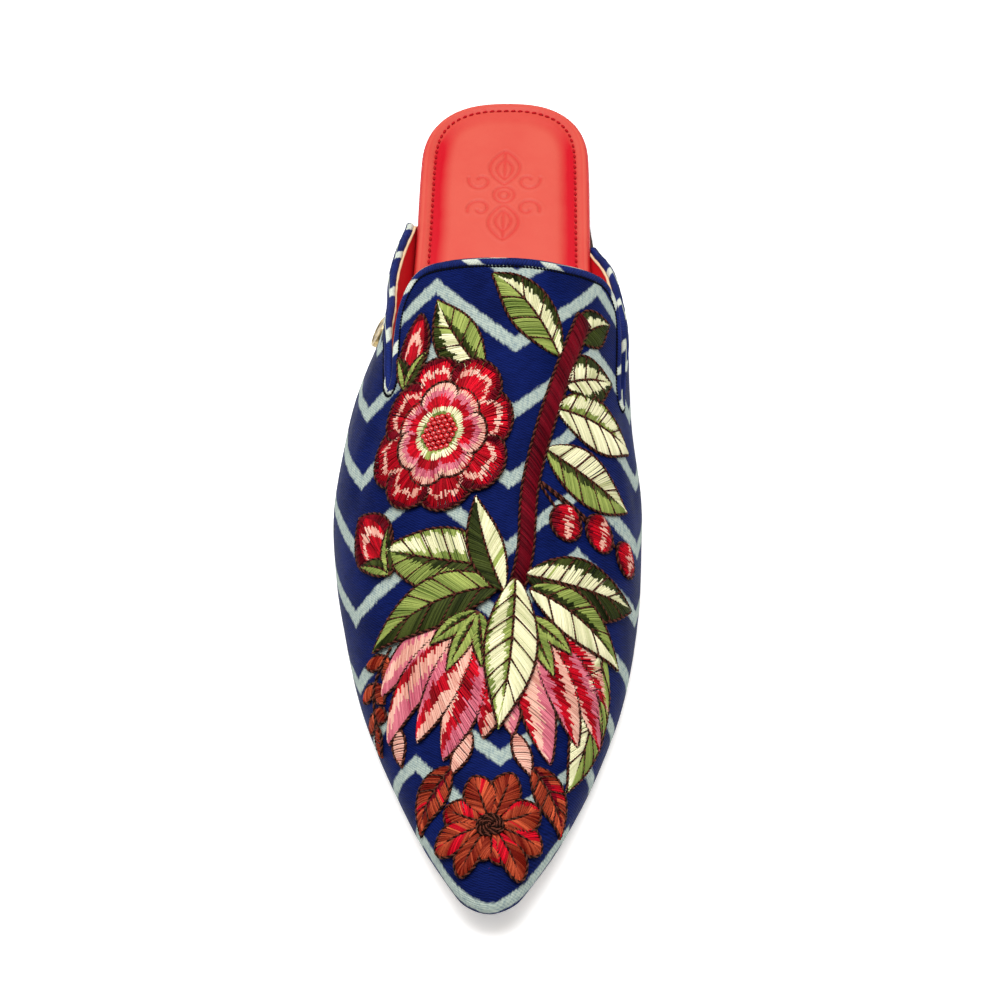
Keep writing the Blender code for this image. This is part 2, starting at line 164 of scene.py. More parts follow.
@dataclass(frozen=True)
class Last:
    """The form the shoe is made on: insole outline, sole line and crest."""

    length: float = 273.5
    fit_gap: float = 0.3
    upper_wall: float = 2.0
    outsole_thick: float = 3.5
    heel_round: float = 24.0
    heel_squareness: float = 2.5
    toe_round: float = 3.5
    frame_x: float = -3.67
    frame_y: float = 137.15
    outline: Table = Table("middle half", [
        (0, -2.2, 23.8), (30, -2.0, 24.9), (55, -1.8, 25.3), (80, -1.8, 26.3),
        (105, -2.4, 29.8), (130, -3.7, 35.9), (152, -3.7, 39.4), (170, -2.9, 38.6),
        (188, -1.9, 36.4), (207, -1.2, 32.8), (224, -0.7, 27.6), (240, -0.2, 21.5),
        (255, 0.1, 14.8), (264, 0.25, 9.8), (273.5, 0.35, 4.0)])
    sole: Table = Table("underside insole", [
        (0, 11.0, 5.0), (30, 11.0, 5.0), (60, 10.4, 4.8), (90, 7.6, 4.2),
        (120, 3.6, 3.6), (150, 0.5, 3.2), (165, 0.0, 3.0), (195, 0.0, 3.0),
        (215, 0.6, 2.8), (240, 2.8, 2.6), (272, 7.0, 2.4)])
    crest: Table = Table("height offset crown wall inner_bulge outer_bulge", [
        (40, 90.0, 0.5, 0.30, 0.60, 16.0, 12.0),
        (75, 80.0, 1.5, 0.40, 0.60, 19.0, 13.0),
        (107, 69.5, 2.5, 0.50, 0.58, 17.0, 12.0),
        (130, 61.5, 2.5, 0.52, 0.55, 9.0, 9.0),
        (152, 53.0, 2.0, 0.52, 0.52, 6.0, 6.5),
        (176, 43.5, 1.0, 0.56, 0.50, 4.5, 5.5),
        (200, 35.0, 0.5, 0.58, 0.50, 3.5, 4.5),
        (225, 28.0, 0.5, 0.60, 0.50, 2.5, 3.0),
        (245, 23.4, 0.4, 0.60, 0.52, 1.8, 2.0),
        (258, 20.0, 0.3, 0.60, 0.55, 1.2, 1.2),
        (266, 17.0, 0.3, 0.60, 0.55, 1.0, 1.0)])

    def place(self, points: Array) -> Array:
        """Scene points, in metres, for (x, station, z) points of the last."""
        return (points - np.array((self.frame_x, self.frame_y, 0.0))) * (MM, -MM, MM)

    def half_width(self, station: Value) -> Array:
        """Half the insole's width, rounded off at the heel and at the tip.

        Args:
            station: One station or many.

        Returns:
            The width at each.
        """
        s = np.asarray(station, float)
        back = np.clip(1.0 - s / self.heel_round, 0.0, 1.0)
        heel = (1.0 - back ** self.heel_squareness) ** (1.0 / self.heel_squareness)
        tip = np.clip((s - self.length + self.toe_round) / self.toe_round, 0.0, 1.0)
        return self.outline.at("half", s) * heel * np.sqrt(1.0 - tip * tip)

    def edge(self, side: int, margin: Callable[[Array], Value], count: int,
             first: float = 0.0, last: Optional[float] = None) -> Array:
        """One side of the insole's outline, moved out by a margin.

        Args:
            side: 1 for the inner side, -1 for the outer.
            margin: How far out the line lies, for stations.
            count: Number of steps, closest together at both ends.
            first: Station where the line begins.
            last: Station where it ends; the tip when left out.

        Returns:
            (x, station) points.
        """
        last = self.length if last is None else last
        i = np.arange(count + 1)
        s = first + (last - first) * (0.5 - 0.5 * np.cos(np.pi * i / count))
        points = np.stack([self.outline.at("middle", s) + side * self.half_width(s), s], 1)
        run = points[np.minimum(i + 1, count)] - points[np.maximum(i - 1, 0)]
        if first == 0.0:
            run[0] = (side, 0.0)
        if last == self.length:
            run[-1] = (-side, 0.0)
        run = unit(run)
        out = np.stack([run[:, 1], -run[:, 0]], 1) * side
        return points + out * np.broadcast_to(margin(s), s.shape)[:, None]

    def ring(self, margin: Callable[[Array], Value], count: int) -> Array:
        """Closed outline from the heel round by the inner side, moved out by a margin."""
        return np.vstack([self.edge(1, margin, count), self.edge(-1, margin, count)[-2:0:-1]])

    def seat(self, station: Value) -> Array:
        """Top of the outsole."""
        return self.sole.at("underside", station) + self.outsole_thick


class Skin:
    """The upper's outer face, addressed by column and signed girth.

    A column is a station of the crest until the sections begin to fan out
    round the toe. The girth is the distance down the side from the crest,
    positive on the inner side.
    """

    FAN_START = 222.0         # column where the sections begin to fan out
    FAN_CREST = 264.0         # station of the crest that the last of them leaves
    FAN_LENGTH = 54.0
    TIP = FAN_START + FAN_LENGTH
    FIRST = 40.0
    END = 300.0               # station where the run over the crest stops being counted
    COLUMN_STEP = 0.5
    STEPS = 40
    CHUNK = 12000             # how many points are looked up at once
    WIDTH, GIRTH = 3, 4       # where a row of the table keeps them, after the point
    NORMAL_REACH = 0.6        # how far to each side the face's slope is measured
    CLOTH_LEAN = 0.6          # how far the cloth runs ahead for each mm it drops
    CLOTH_PULL = 5.2          # how far it is pulled over the tip when it is lasted
    WING_LEAN = 2.4           # how far the outer wing's open edge leans in
    WING_TUCK = 1.3           # how far the inner wing's end hugs the insole
    CLOTH_CENTRE = 2.5        # how far the middle of the cloth strays from the tip
    CLOTH_HALF = 47.0         # from that middle to where the inner side hangs true again
    CLOTH_SWAY = ((105.0, -3.6), (190.0, 4.9), (218.0, 0.0))   # its drift between, by column

    def __init__(self, last: Last) -> None:
        """Work out every section once.

        Args:
            last: The form under the upper.
        """
        self.last = last
        count = round((self.TIP - self.FIRST) / self.COLUMN_STEP)
        self.columns = self.FIRST + self.COLUMN_STEP * np.arange(count + 1)
        points = np.stack([self.sections(side) for side in (1, -1)])
        hops = np.diff(points, axis=2)
        sizes = [self.summed(np.hypot(hops[..., 0], hops[..., 2])),
                 self.summed(np.linalg.norm(hops, axis=-1))]
        self.table = np.concatenate([points, np.stack(sizes, -1)], -1)
        self.along = np.arange(self.FIRST, self.END, self.COLUMN_STEP)
        self.heights = last.crest.at("height", self.along)
        self.walked = distance_along(np.stack([self.along, self.heights], 1))
        self.walked += TOPLINE_CREST[0] - np.interp(TOPLINE_CREST[0], self.along, self.walked)

    @staticmethod
    def summed(hops: Array) -> Array:
        """Running distance down each section, from 0 at the crest."""
        return np.concatenate([np.zeros(hops.shape[:-1] + (1,)), np.cumsum(hops, -1)], -1)

    def sections(self, side: int) -> Array:
        """Points of every half section on one side.

        Args:
            side: 1 for the inner side, -1 for the outer.

        Returns:
            An array of columns by steps by (x, station, z).
        """
        last = self.last
        crest = last.crest
        reach = last.fit_gap + last.upper_wall
        feather = last.edge(side, lambda s: reach, 160)[::-1]
        run = distance_along(feather)

        def point_at(distance: Array) -> Array:
            """Point of the feather line at a distance from the tip."""
            return np.stack([np.interp(distance, run, feather[:, k]) for k in (0, 1)], -1)

        def run_at(station: Value) -> Array:
            """Distance from the tip at a station."""
            return np.interp(np.negative(station), -feather[:, 1], run)

        fan_run = float(run_at(self.FAN_START))
        near, far = point_at(np.array([fan_run - 0.5, fan_run + 0.5]))
        pace = abs(far[1] - near[1]) * fan_run / (self.FAN_CREST - self.FAN_START)
        p = np.clip(1.0 - (self.columns - self.FAN_START) / self.FAN_LENGTH, 0.0, 1.0)
        back = (3.0 - pace) * p * p + (pace - 2.0) * p ** 3
        fanned = self.columns > self.FAN_START
        foot = np.where(fanned[:, None], point_at(fan_run * p), point_at(run_at(self.columns)))
        fan_crest = self.FAN_CREST - (self.FAN_CREST - self.FAN_START) * back
        top_station = np.where(fanned, fan_crest, self.columns)
        top = np.stack([crest.at("offset", top_station), top_station], 1)
        seat = last.seat(foot[:, 1]) + last.fit_gap
        width = np.linalg.norm(foot - top, axis=1)
        aim = (foot - top) / width[:, None]
        height = crest.at("height", top_station) - seat
        fall = crest.at("height", top_station + 0.5) - crest.at("height", top_station - 0.5)
        crown = crest.at("crown", top_station) * width
        bulge = crest.at("inner_bulge" if side > 0 else "outer_bulge", top_station)
        outs = [0.0 * width, crown, width + bulge, width]
        ups = [height, height + fall * aim[:, 1] * crown,
               crest.at("wall", top_station) * height, 0.0 * width]
        t = np.arange(self.STEPS + 1) / self.STEPS
        mix = [(1 - t) ** 3, 3 * t * (1 - t) ** 2, 3 * t * t * (1 - t), t ** 3]
        out = sum(np.outer(h, m) for m, h in zip(mix, outs))
        up = sum(np.outer(h, m) for m, h in zip(mix, ups))
        at_wing = np.outer(bell(self.columns - 97.0, 18.0), np.ones(len(t)))
        if side < 0:
            out = out - self.WING_LEAN * at_wing * bell(seat[:, None] + up - 38.0, 11.0)
        else:
            out = out - (self.WING_TUCK * (1.0 - ramp(self.columns, 55.0, 74.0)))[:, None]
        return np.stack([top[:, :1] + aim[:, :1] * out, top[:, 1:] + aim[:, 1:] * out,
                         seat[:, None] + up], -1)

    def girth(self, column: Value, side: int) -> Array:
        """Whole girth of one side at columns."""
        return np.interp(column, self.columns, self.table[0 if side > 0 else 1, :, -1, self.GIRTH])

    def look_up(self, column: Array, girth: Array) -> tuple[Array, Array]:
        """Points of the face and how far across the cloth they lie.

        Args:
            column: Columns.
            girth: Signed girths, one for each column.

        Returns:
            (x, station, z) points, and distances across the cloth.
        """
        column, girth = np.broadcast_arrays(np.asarray(column, float), np.asarray(girth, float))
        shape = column.shape
        column, girth = column.ravel(), girth.ravel()
        points, across = [], []
        for k in range(0, len(column), self.CHUNK):
            c, g = column[k:k + self.CHUNK], girth[k:k + self.CHUNK]
            side = ((g < 0.0) & (c < self.TIP - 1e-6)).astype(int)
            x = (np.clip(c, self.FIRST, self.TIP) - self.FIRST) / self.COLUMN_STEP
            i = np.minimum(x.astype(int), len(self.columns) - 2)
            f = (x - i)[:, None, None]
            near = self.table[side, i] * (1 - f) + self.table[side, i + 1] * f
            down = np.clip(np.abs(g), 0.0, near[:, -1, self.GIRTH])
            j = np.clip((near[..., self.GIRTH] <= down[:, None]).sum(1) - 1, 0, self.STEPS - 1)
            low, high = (near[np.arange(len(c)), k] for k in (j, j + 1))
            t = (down - low[:, self.GIRTH]) / (high - low)[:, self.GIRTH]
            found = low + (high - low) * t[:, None]
            points.append(found[:, :3])
            across.append(np.where(g < 0.0, -found[:, self.WIDTH], found[:, self.WIDTH]))
        return np.vstack(points).reshape(shape + (3,)), np.concatenate(across).reshape(shape)

    def at(self, column: Value, girth: Value) -> Array:
        """Last points for columns and signed girths."""
        return self.look_up(column, girth)[0]

    def normal(self, column: Value, girth: Value) -> Array:
        """Outward unit normals of the outer face.

        Args:
            column: Columns.
            girth: Signed girths, one for each column.

        Returns:
            The normals along the last's axes.
        """
        reach = self.NORMAL_REACH
        across = self.at(column, girth + reach) - self.at(column, girth - reach)
        along = self.at(column + reach, girth) - self.at(column - reach, girth)
        return unit(np.cross(across, along))

    def cloth(self, column: Value, girth: Value) -> Array:
        """Where points lie on the flat printed cloth.

        Args:
            column: Columns.
            girth: Signed girths, one for each column.

        Returns:
            Distances across and along the cloth, in mm.
        """
        point, across = self.look_up(column, girth)
        inner = np.clip((across - self.CLOTH_CENTRE) / self.CLOTH_HALF, 0.0, 1.0)
        sway = np.interp(column, *zip(*self.CLOTH_SWAY))
        across = across + sway * np.sin(np.pi * inner)
        across = across + self.CLOTH_CENTRE * ramp(column, self.FAN_START, self.TIP)
        drop = np.maximum(0.0, np.interp(point[..., 1], self.along, self.heights) - point[..., 2])
        along = np.interp(point[..., 1], self.along, self.walked) + self.CLOTH_LEAN * drop
        along = along - self.CLOTH_PULL * ramp(column, self.TIP - 32.0, self.TIP - 9.0)
        return np.stack([across, along], -1)


# the open edge: column, and distance down the side from the crest
TOPLINE_INNER = [
    (56.0, 83.9), (58.0, 82.2), (61.0, 79.8), (65.0, 76.5), (70.0, 72.7), (78.0, 67.2),
    (86.0, 62.2), (94.0, 57.6), (102.0, 53.2), (110.0, 49.3), (118.0, 46.4), (125.0, 44.9),
    (128.8, 44.1), (130.4, 42.2), (129.0, 40.3), (125.5, 39.7), (119.0, 39.9),
    (110.0, 40.3), (105.4, 40.1), (102.6, 38.7), (101.0, 35.9), (100.8, 31.9), (102.0, 27.0),
    (104.9, 16.0), (106.5, 7.0)]
TOPLINE_OUTER = [
    (47.0, 85.6), (50.0, 84.0), (56.0, 79.9), (62.0, 76.0), (68.0, 72.5), (74.0, 69.0),
    (80.0, 65.4), (88.0, 60.0), (96.0, 54.2), (104.0, 48.4), (111.0, 43.6), (118.0, 40.4),
    (126.0, 38.5), (131.4, 37.6), (133.8, 35.6), (131.8, 33.7), (127.0, 33.4),
    (118.0, 34.0), (112.0, 34.2), (108.0, 33.4), (105.0, 31.4), (103.1, 28.4), (103.0, 24.0),
    (104.7, 16.0), (106.4, 7.0)]
TOPLINE_CREST = (107.1, 0.0)


def smooth_path(points: Sequence[Spot], spacing: float) -> Array:
    """Rounded path through points.

    Args:
        points: Corners that the path passes through.
        spacing: About how far apart the path's own points lie.

    Returns:
        The path's points.
    """
    path = []
    ends = [points[0], *points, points[-1]]
    for a, b, c, d in zip(ends, ends[1:], ends[2:], ends[3:]):
        a, b, c, d = (np.array(p, float) for p in (a, b, c, d))
        count = max(1, round(float(np.linalg.norm(c - b)) / spacing))
        for t in np.arange(count) / count:
            path.append(0.5 * (2 * b + (c - a) * t + (2 * a - 5 * b + 4 * c - d) * t * t
                               + (3 * b - a - 3 * c + d) * t ** 3))
    path.append(np.array(points[-1], float))
    return np.array(path)


def topline(spacing: float) -> Array:
    """The whole open edge, inner wing end to outer wing end, as (column, girth)."""
    outer = [(s, -g) for s, g in reversed(TOPLINE_OUTER)]
    return smooth_path(TOPLINE_INNER + [TOPLINE_CREST] + outer, spacing)


# ---- meshes -----------------------------------------------------------------
def within(polygon: Array, points: Array, distance: float) -> Array:
    """Which points lie inside a polygon and clear of its edges.

    Args:
        polygon: Corners in order.
        points: Points to sort.
        distance: How far they have to keep from every edge.

    Returns:
        True for each point to keep.
    """
    hit = np.zeros(len(points), bool)
    near = np.full(len(points), np.inf)
    for a, b in zip(polygon, np.roll(polygon, -1, axis=0)):
        if a[1] != b[1]:
            crosses = (a[1] > points[:, 1]) != (b[1] > points[:, 1])
            at = a[0] + (b[0] - a[0]) * (points[:, 1] - a[1]) / (b[1] - a[1])
            hit ^= crosses & (points[:, 0] < at)
        near = np.minimum(near, from_stretch(points, a, b)[0])
    return hit & (near > distance)


def from_stretch(points: Array, a: Array, b: Array) -> tuple[Array, Array]:
    """Distances of flat points from a straight stretch.

    Args:
        points: The points.
        a: Where the stretch begins.
        b: Where it ends.

    Returns:
        The distances, and the share of the stretch that each point lies beside.
    """
    run = b - a
    share = np.clip((points - a) @ run / max(run @ run, 1e-12), 0.0, 1.0)
    return np.linalg.norm(points - a - share[:, None] * run, axis=1), share


def fill_flat(polygon: Array, inner: Array) -> tuple[Array, list[list[int]]]:
    """Triangles over a flat polygon and the points inside it.

    Args:
        polygon: Corners in order.
        inner: Points inside.

    Returns:
        Flat points and the faces between them.
    """
    corners = [Vector(p) for p in np.vstack([polygon, inner])]
    count = len(polygon)
    edges = [(i, (i + 1) % count) for i in range(count)]
    flat, _, faces, _, _, _ = delaunay_2d_cdt(corners, edges, [], 1, 1e-5)
    return np.array([tuple(p) for p in flat]), [list(f) for f in faces]


def new_object(name: str, mesh: Mesh) -> Object:
    """Object at the origin for a mesh.

    Args:
        name: Name of the piece.
        mesh: Its mesh.

    Returns:
        The object, linked into the scene.
    """
    obj = bpy.data.objects.new(name, mesh)
    bpy.context.scene.collection.objects.link(obj)
    return obj


def finish_mesh(name: str, bm: BMesh, *finishes: "Finish", crease_deg: float = 50.0) -> Object:
    """Turn a bmesh into a smooth-shaded object.

    Args:
        name: Name of the piece.
        bm: The shape, which is freed.
        *finishes: Finishes of its material slots, in order.
        crease_deg: Edges sharper than this stay sharp.

    Returns:
        The object.
    """
    mesh = bpy.data.meshes.new(name)
    bm.to_mesh(mesh)
    bm.free()
    for finish in finishes:
        mesh.materials.append(finish.material())
    mesh.shade_smooth()
    mesh.set_sharp_from_angle(angle=math.radians(crease_deg))
    return new_object(name, mesh)


def write_cloth(mesh: Mesh, spots: Array) -> None:
    """Give a mesh its cloth map from one spot in mm for each face corner."""
    layer = mesh.uv_layers.new(name="cloth")
    layer.data.foreach_set("uv", (spots * MM).astype(np.float32).ravel())


def write_value(mesh: Mesh, name: str, values: Array) -> None:
    """Give a mesh a named number on each vertex."""
    layer = mesh.attributes.new(name, "FLOAT", "POINT")
    layer.data.foreach_set("value", np.asarray(values, np.float32))


def loop_vertices(mesh: Mesh) -> Array:
    """Vertex at each face corner of a mesh.

    Args:
        mesh: The mesh.

    Returns:
        The vertices' indices.
    """
    corner = np.zeros(len(mesh.loops), np.int32)
    mesh.loops.foreach_get("vertex_index", corner)
    return corner


def loft(rings: Sequence[Array]) -> tuple[BMesh, list[list[BMVert]]]:
    """Walls from each ring of last points to the next.

    Args:
        rings: Rings that all have the same number of points.

    Returns:
        The shape, still open at both ends, and the vertices of each ring.
    """
    bm = bmesh.new()
    made = [[bm.verts.new(p) for p in LAST.place(ring)] for ring in rings]
    for low, high in zip(made, made[1:]):
        for i, j in zip(range(len(low)), [*range(1, len(low)), 0]):
            bm.faces.new((low[i], low[j], high[j], high[i]))
    return bm, made


def cap_across(bm: BMesh, ring: Sequence[BMVert]) -> None:
    """Close a ring that starts at the heel and turns back at the tip.

    Args:
        bm: The shape.
        ring: Its vertices, which strips join from side to side.
    """
    for i in range(len(ring) // 2):
        corners = dict.fromkeys((ring[i], ring[i + 1], ring[-i - 1], ring[-i]))
        bm.faces.new(list(corners))


def close_ends(bm: BMesh, ends: Iterable[Sequence[BMVert]]) -> None:
    """Close a shape's end rings with triangles, and turn all of it to face outward.

    Args:
        bm: The shape.
        ends: The rings to close.
    """
    for ring in ends:
        bm.faces.new(ring)
    bmesh.ops.triangulate(bm, faces=[f for f in bm.faces if len(f.verts) > 4])
    bmesh.ops.recalc_face_normals(bm, faces=bm.faces)


def round_ring(centre: Array, first: Array, second: Array, reach: Value, sides: int) -> Array:
    """Ring of last points round a centre.

    Args:
        centre: The centre.
        first: Way from it to the first point, as a unit vector.
        second: Way to the point a quarter turn on.
        reach: Distance of the points, or of each point.
        sides: Number of points.

    Returns:
        The points.
    """
    angles = 2.0 * np.pi * np.arange(sides) / sides
    return (centre + np.outer(np.cos(angles) * reach, first)
            + np.outer(np.sin(angles) * reach, second))


def tube(path: Array, radius: Value, sides: int) -> tuple[BMesh, Array]:
    """Capped round cord along a path.

    Args:
        path: Last points along the middle.
        radius: Radius at each point, or everywhere.
        sides: Faces round the cord.

    Returns:
        The cord, and for each vertex how far along and around it lies, in mm.
    """
    radius = np.broadcast_to(radius, len(path))
    ahead = unit(np.gradient(path, axis=0))
    turn = np.array(Vector(ahead[0]).orthogonal().normalized())
    rings = []
    for point, way, reach in zip(path, ahead, radius):
        turn = unit(turn - way * (turn @ way))
        rings.append(round_ring(point, turn, np.cross(way, turn), reach, sides))
    bm, made = loft(rings)
    bm.faces.new(made[0][::-1])
    bm.faces.new(made[-1])
    bmesh.ops.recalc_face_normals(bm, faces=bm.faces)
    around = np.outer(radius, 2.0 * np.pi * np.arange(sides) / sides)
    return bm, np.stack([np.repeat(distance_along(path), sides), around.ravel()], 1)


LAST = Last()
SKIN = Skin(LAST)


# ---- node trees -------------------------------------------------------------
class Tree:
    """Short hand for filling a node tree."""

    def __init__(self, tree: NodeTree) -> None:
        """Keep the tree to fill."""
        self.tree = tree

    def node(self, kind: str, inputs: Optional[dict] = None, **settings: object) -> Node:
        """Add one node.

        Args:
            kind: The node's type.
            inputs: Values or sockets for its inputs, by name or index.
            **settings: Its own properties.

        Returns:
            The node.
        """
        made = self.tree.nodes.new(kind)
        for name, value in settings.items():
            setattr(made, name, value)
        for key, value in (inputs or {}).items():
            self.feed(made.inputs[key], value)
        return made

    def feed(self, socket: NodeSocket, value: object) -> None:
        """Link a socket to another, or set its value.

        Args:
            socket: The input.
            value: A socket or a plain value.
        """
        if isinstance(value, NodeSocket):
            self.tree.links.new(value, socket)
        else:
            socket.default_value = value

    def sum(self, operation: str, *values: object, clamp: bool = False) -> NodeSocket:
        """Result of a Math node."""
        return self.node("ShaderNodeMath", dict(enumerate(values)), operation=operation,
                         use_clamp=clamp).outputs[0]

    def vector(self, operation: str, first: object, second: object) -> NodeSocket:
        """Result of a Vector Math node, whose Scale is its fourth input."""
        return self.node("ShaderNodeVectorMath", {0: first, 3 if operation == "SCALE" else 1: second},
                         operation=operation).outputs[0]

    def blend(self, factor: object, low: Colour, high: Colour) -> NodeSocket:
        """Colour between two colours, each a tuple or a socket.

        Args:
            factor: 0 for the low colour, 1 for the high one.
            low: First colour.
            high: Second colour.

        Returns:
            The mixed colour.
        """
        low, high = (c if isinstance(c, NodeSocket) else (*c, 1.0) for c in (low, high))
        return self.node("ShaderNodeMix", {0: factor, 6: low, 7: high}, data_type="RGBA").outputs[2]

    def step(self, value: object, low: object, high: object) -> NodeSocket:
        """Smooth step of a value from 0 at low to 1 at high."""
        return self.node("ShaderNodeMapRange", {0: value, 1: low, 2: high},
                         interpolation_type="SMOOTHSTEP").outputs[0]

    def noise(self, place: object, scale: float, detail: float = 2.0,
              rough: float = 0.5) -> NodeSocket:
        """Smooth noise from 0 to 1."""
        return self.node("ShaderNodeTexNoise", {"Vector": place, "Scale": scale, "Detail": detail,
                                                "Roughness": rough}).outputs[0]

    def bump(self, height: NodeSocket, depth: float) -> NodeSocket:
        """Normal of a relief whose heights, from 0 to 1, reach a depth in metres."""
        return self.node("ShaderNodeBump", {"Strength": 1.0, "Distance": depth,
                                            "Height": height}).outputs[0]

    def place(self) -> NodeSocket:
        """Place on the piece in its own axes."""
        return self.node("ShaderNodeTexCoord").outputs["Object"]

    def group(self, tree: NodeTree, **inputs: object) -> Outputs:
        """Place a shader group.

        Args:
            tree: The group.
            **inputs: Values or sockets for its inputs.

        Returns:
            Its outputs.
        """
        made = self.node("ShaderNodeGroup", node_tree=tree)
        for name, value in inputs.items():
            self.feed(made.inputs[name], value)
        return made.outputs


class Group(Tree):
    """A node group with named inputs and outputs."""

    def __init__(self, name: str, kind: str, outputs: dict[str, str], **inputs: object) -> None:
        """Start the group.

        Args:
            name: Its name.
            kind: Shader or Geometry.
            outputs: Kind of each output, by name.
            **inputs: Value of each input, or the kind of one that has no value.
        """
        super().__init__(bpy.data.node_groups.new(name, kind + "NodeTree"))
        for label, value in inputs.items():
            bare = isinstance(value, str)
            socket = self.add_socket(label, value if bare else type(value).__name__.capitalize(), "INPUT")
            if not bare:
                socket.default_value = value
        for label, socket_kind in outputs.items():
            self.add_socket(label, socket_kind, "OUTPUT")
        self.entry = self.node("NodeGroupInput").outputs
        self.leave = self.node("NodeGroupOutput").inputs

    def add_socket(self, label: str, kind: str, way: str) -> NodeTreeInterfaceSocket:
        """Add one socket to the group's face."""
        return self.tree.interface.new_socket(label, in_out=way, socket_type="NodeSocket" + kind)

    def __getitem__(self, name: str) -> NodeSocket:
        """One of the group's inputs."""
        return self.entry[name]

    def close(self, **outputs: NodeSocket) -> NodeTree:
        """Feed the group's outputs.

        Args:
            **outputs: A socket for each output, by name.

        Returns:
            The filled group.
        """
        for name, socket in outputs.items():
            self.feed(self.leave[name], socket)
        return self.tree


@lru_cache
def twill_group() -> NodeTree:
    """Fine slanted ribs of a twill weave with its slubs and worn-in unevenness.

    Returns:
        A shader group with the ribs, the slubs and slow clouds, each from 0 to 1.
    """
    t = Group("twill_weave", "Shader", {"Rib": "Float", "Slub": "Float", "Cloud": "Float"},
              Place="Vector", Pitch=0.00070, Slant=0.45)
    split = t.node("ShaderNodeSeparateXYZ", {0: t["Place"]})
    across = t.sum("MULTIPLY", split.outputs[0], t["Slant"])
    wander = t.sum("MULTIPLY", t.noise(t["Place"], 900.0, 1.0), 0.00025)
    down = t.sum("ADD", t.sum("SUBTRACT", split.outputs[1], across), wander)
    phase = t.sum("MULTIPLY", t.sum("DIVIDE", down, t["Pitch"]), 2.0 * math.pi)
    wave = t.sum("MULTIPLY_ADD", t.sum("SINE", phase), 0.5, 0.5)
    weft = t.sum("DIVIDE", t.sum("ADD", split.outputs[0], split.outputs[1]), t["Pitch"])
    floats = t.sum("MULTIPLY_ADD", t.sum("SINE", t.sum("MULTIPLY", weft, 2.4 * math.pi)), 0.5, 0.5)
    stretched = t.vector("MULTIPLY", t["Place"], (0.12, 1.0, 1.0))
    return t.close(Rib=t.sum("ADD", t.sum("MULTIPLY", wave, 0.7), t.sum("MULTIPLY", floats, 0.3)),
                   Slub=t.noise(stretched, 2600.0, 2.0, 0.6),
                   Cloud=t.noise(t["Place"], 70.0, 3.0, 0.6))


@lru_cache
def chevron_group() -> NodeTree:
    """Mask of a hand-printed zigzag with dry-brush edges.

    Returns:
        A shader group with the print's mask and its brush streaks, each from 0 to 1.
    """
    t = Group("chevron_print", "Shader", {"Mask": "Float", "Streak": "Float"},
              Place="Vector", Width=0.0034, Repeat=0.047, Centre=0.0025, Rise=0.0175,
              Spacing=0.0191, First=0.111, Ragged=0.0015)
    split = t.node("ShaderNodeSeparateXYZ", {0: t["Place"]})
    turns = t.sum("DIVIDE", t.sum("SUBTRACT", split.outputs[0], t["Centre"]), t["Repeat"])
    tooth = t.sum("PINGPONG", turns, 0.5)
    fall = t.sum("MULTIPLY", t.sum("MULTIPLY", tooth, 2.0), t["Rise"])
    line = t.sum("ADD", t.sum("SUBTRACT", split.outputs[1], t["First"]), fall)
    wobble = t.sum("SUBTRACT", t.noise(t["Place"], 260.0, 3.0, 0.65), 0.5)
    line = t.sum("MULTIPLY_ADD", wobble, t["Ragged"], line)
    half = t.sum("MULTIPLY", t["Spacing"], 0.5)
    off = t.sum("SUBTRACT", t.sum("WRAP", t.sum("ADD", line, half), t["Spacing"], 0.0), half)
    slope = t.sum("DIVIDE", t.sum("MULTIPLY", t["Rise"], 2.0), t["Repeat"])
    stretch = t.sum("SQRT", t.sum("MULTIPLY_ADD", slope, slope, 1.0))
    away = t.sum("DIVIDE", t.sum("ABSOLUTE", off), stretch)
    streak = t.noise(t.vector("MULTIPLY", t["Place"], (1.0, 0.35, 1.0)), 1500.0, 3.0, 0.7)
    fray = t.sum("MULTIPLY", t.sum("SUBTRACT", streak, 0.5), t["Ragged"])
    edge = t.sum("ADD", t.sum("MULTIPLY", t["Width"], 0.5), fray)
    soft = t.sum("MULTIPLY", t["Ragged"], 0.32)
    mask = t.step(away, t.sum("ADD", edge, soft), t.sum("SUBTRACT", edge, soft))
    return t.close(Mask=mask, Streak=streak)


@lru_cache
def grain_group() -> NodeTree:
    """Pebbled leather grain with pores and slow changes of tone.

    Returns:
        A shader group with the grain's height and its tone, each from 0 to 1.
    """
    t = Group("leather_grain", "Shader", {"Height": "Float", "Tone": "Float"},
              Place="Vector", Grain=1400.0, Warp=0.3)
    swirl = t.node("ShaderNodeTexNoise", {"Vector": t["Place"], "Scale": 500.0}).outputs[1]
    bent = t.vector("ADD", t["Place"],
                    t.vector("SCALE", swirl, t.sum("MULTIPLY", t["Warp"], 0.001)))
    cells = t.node("ShaderNodeTexVoronoi", {"Vector": bent, "Scale": t["Grain"]},
                   feature="DISTANCE_TO_EDGE")
    pebble = t.sum("MULTIPLY", t.step(cells.outputs[0], 0.0, 0.35), 0.7)
    return t.close(Height=t.sum("MULTIPLY_ADD", t.noise(t["Place"], 4200.0, 2.0), 0.3, pebble),
                   Tone=t.noise(t["Place"], 55.0, 4.0, 0.6))


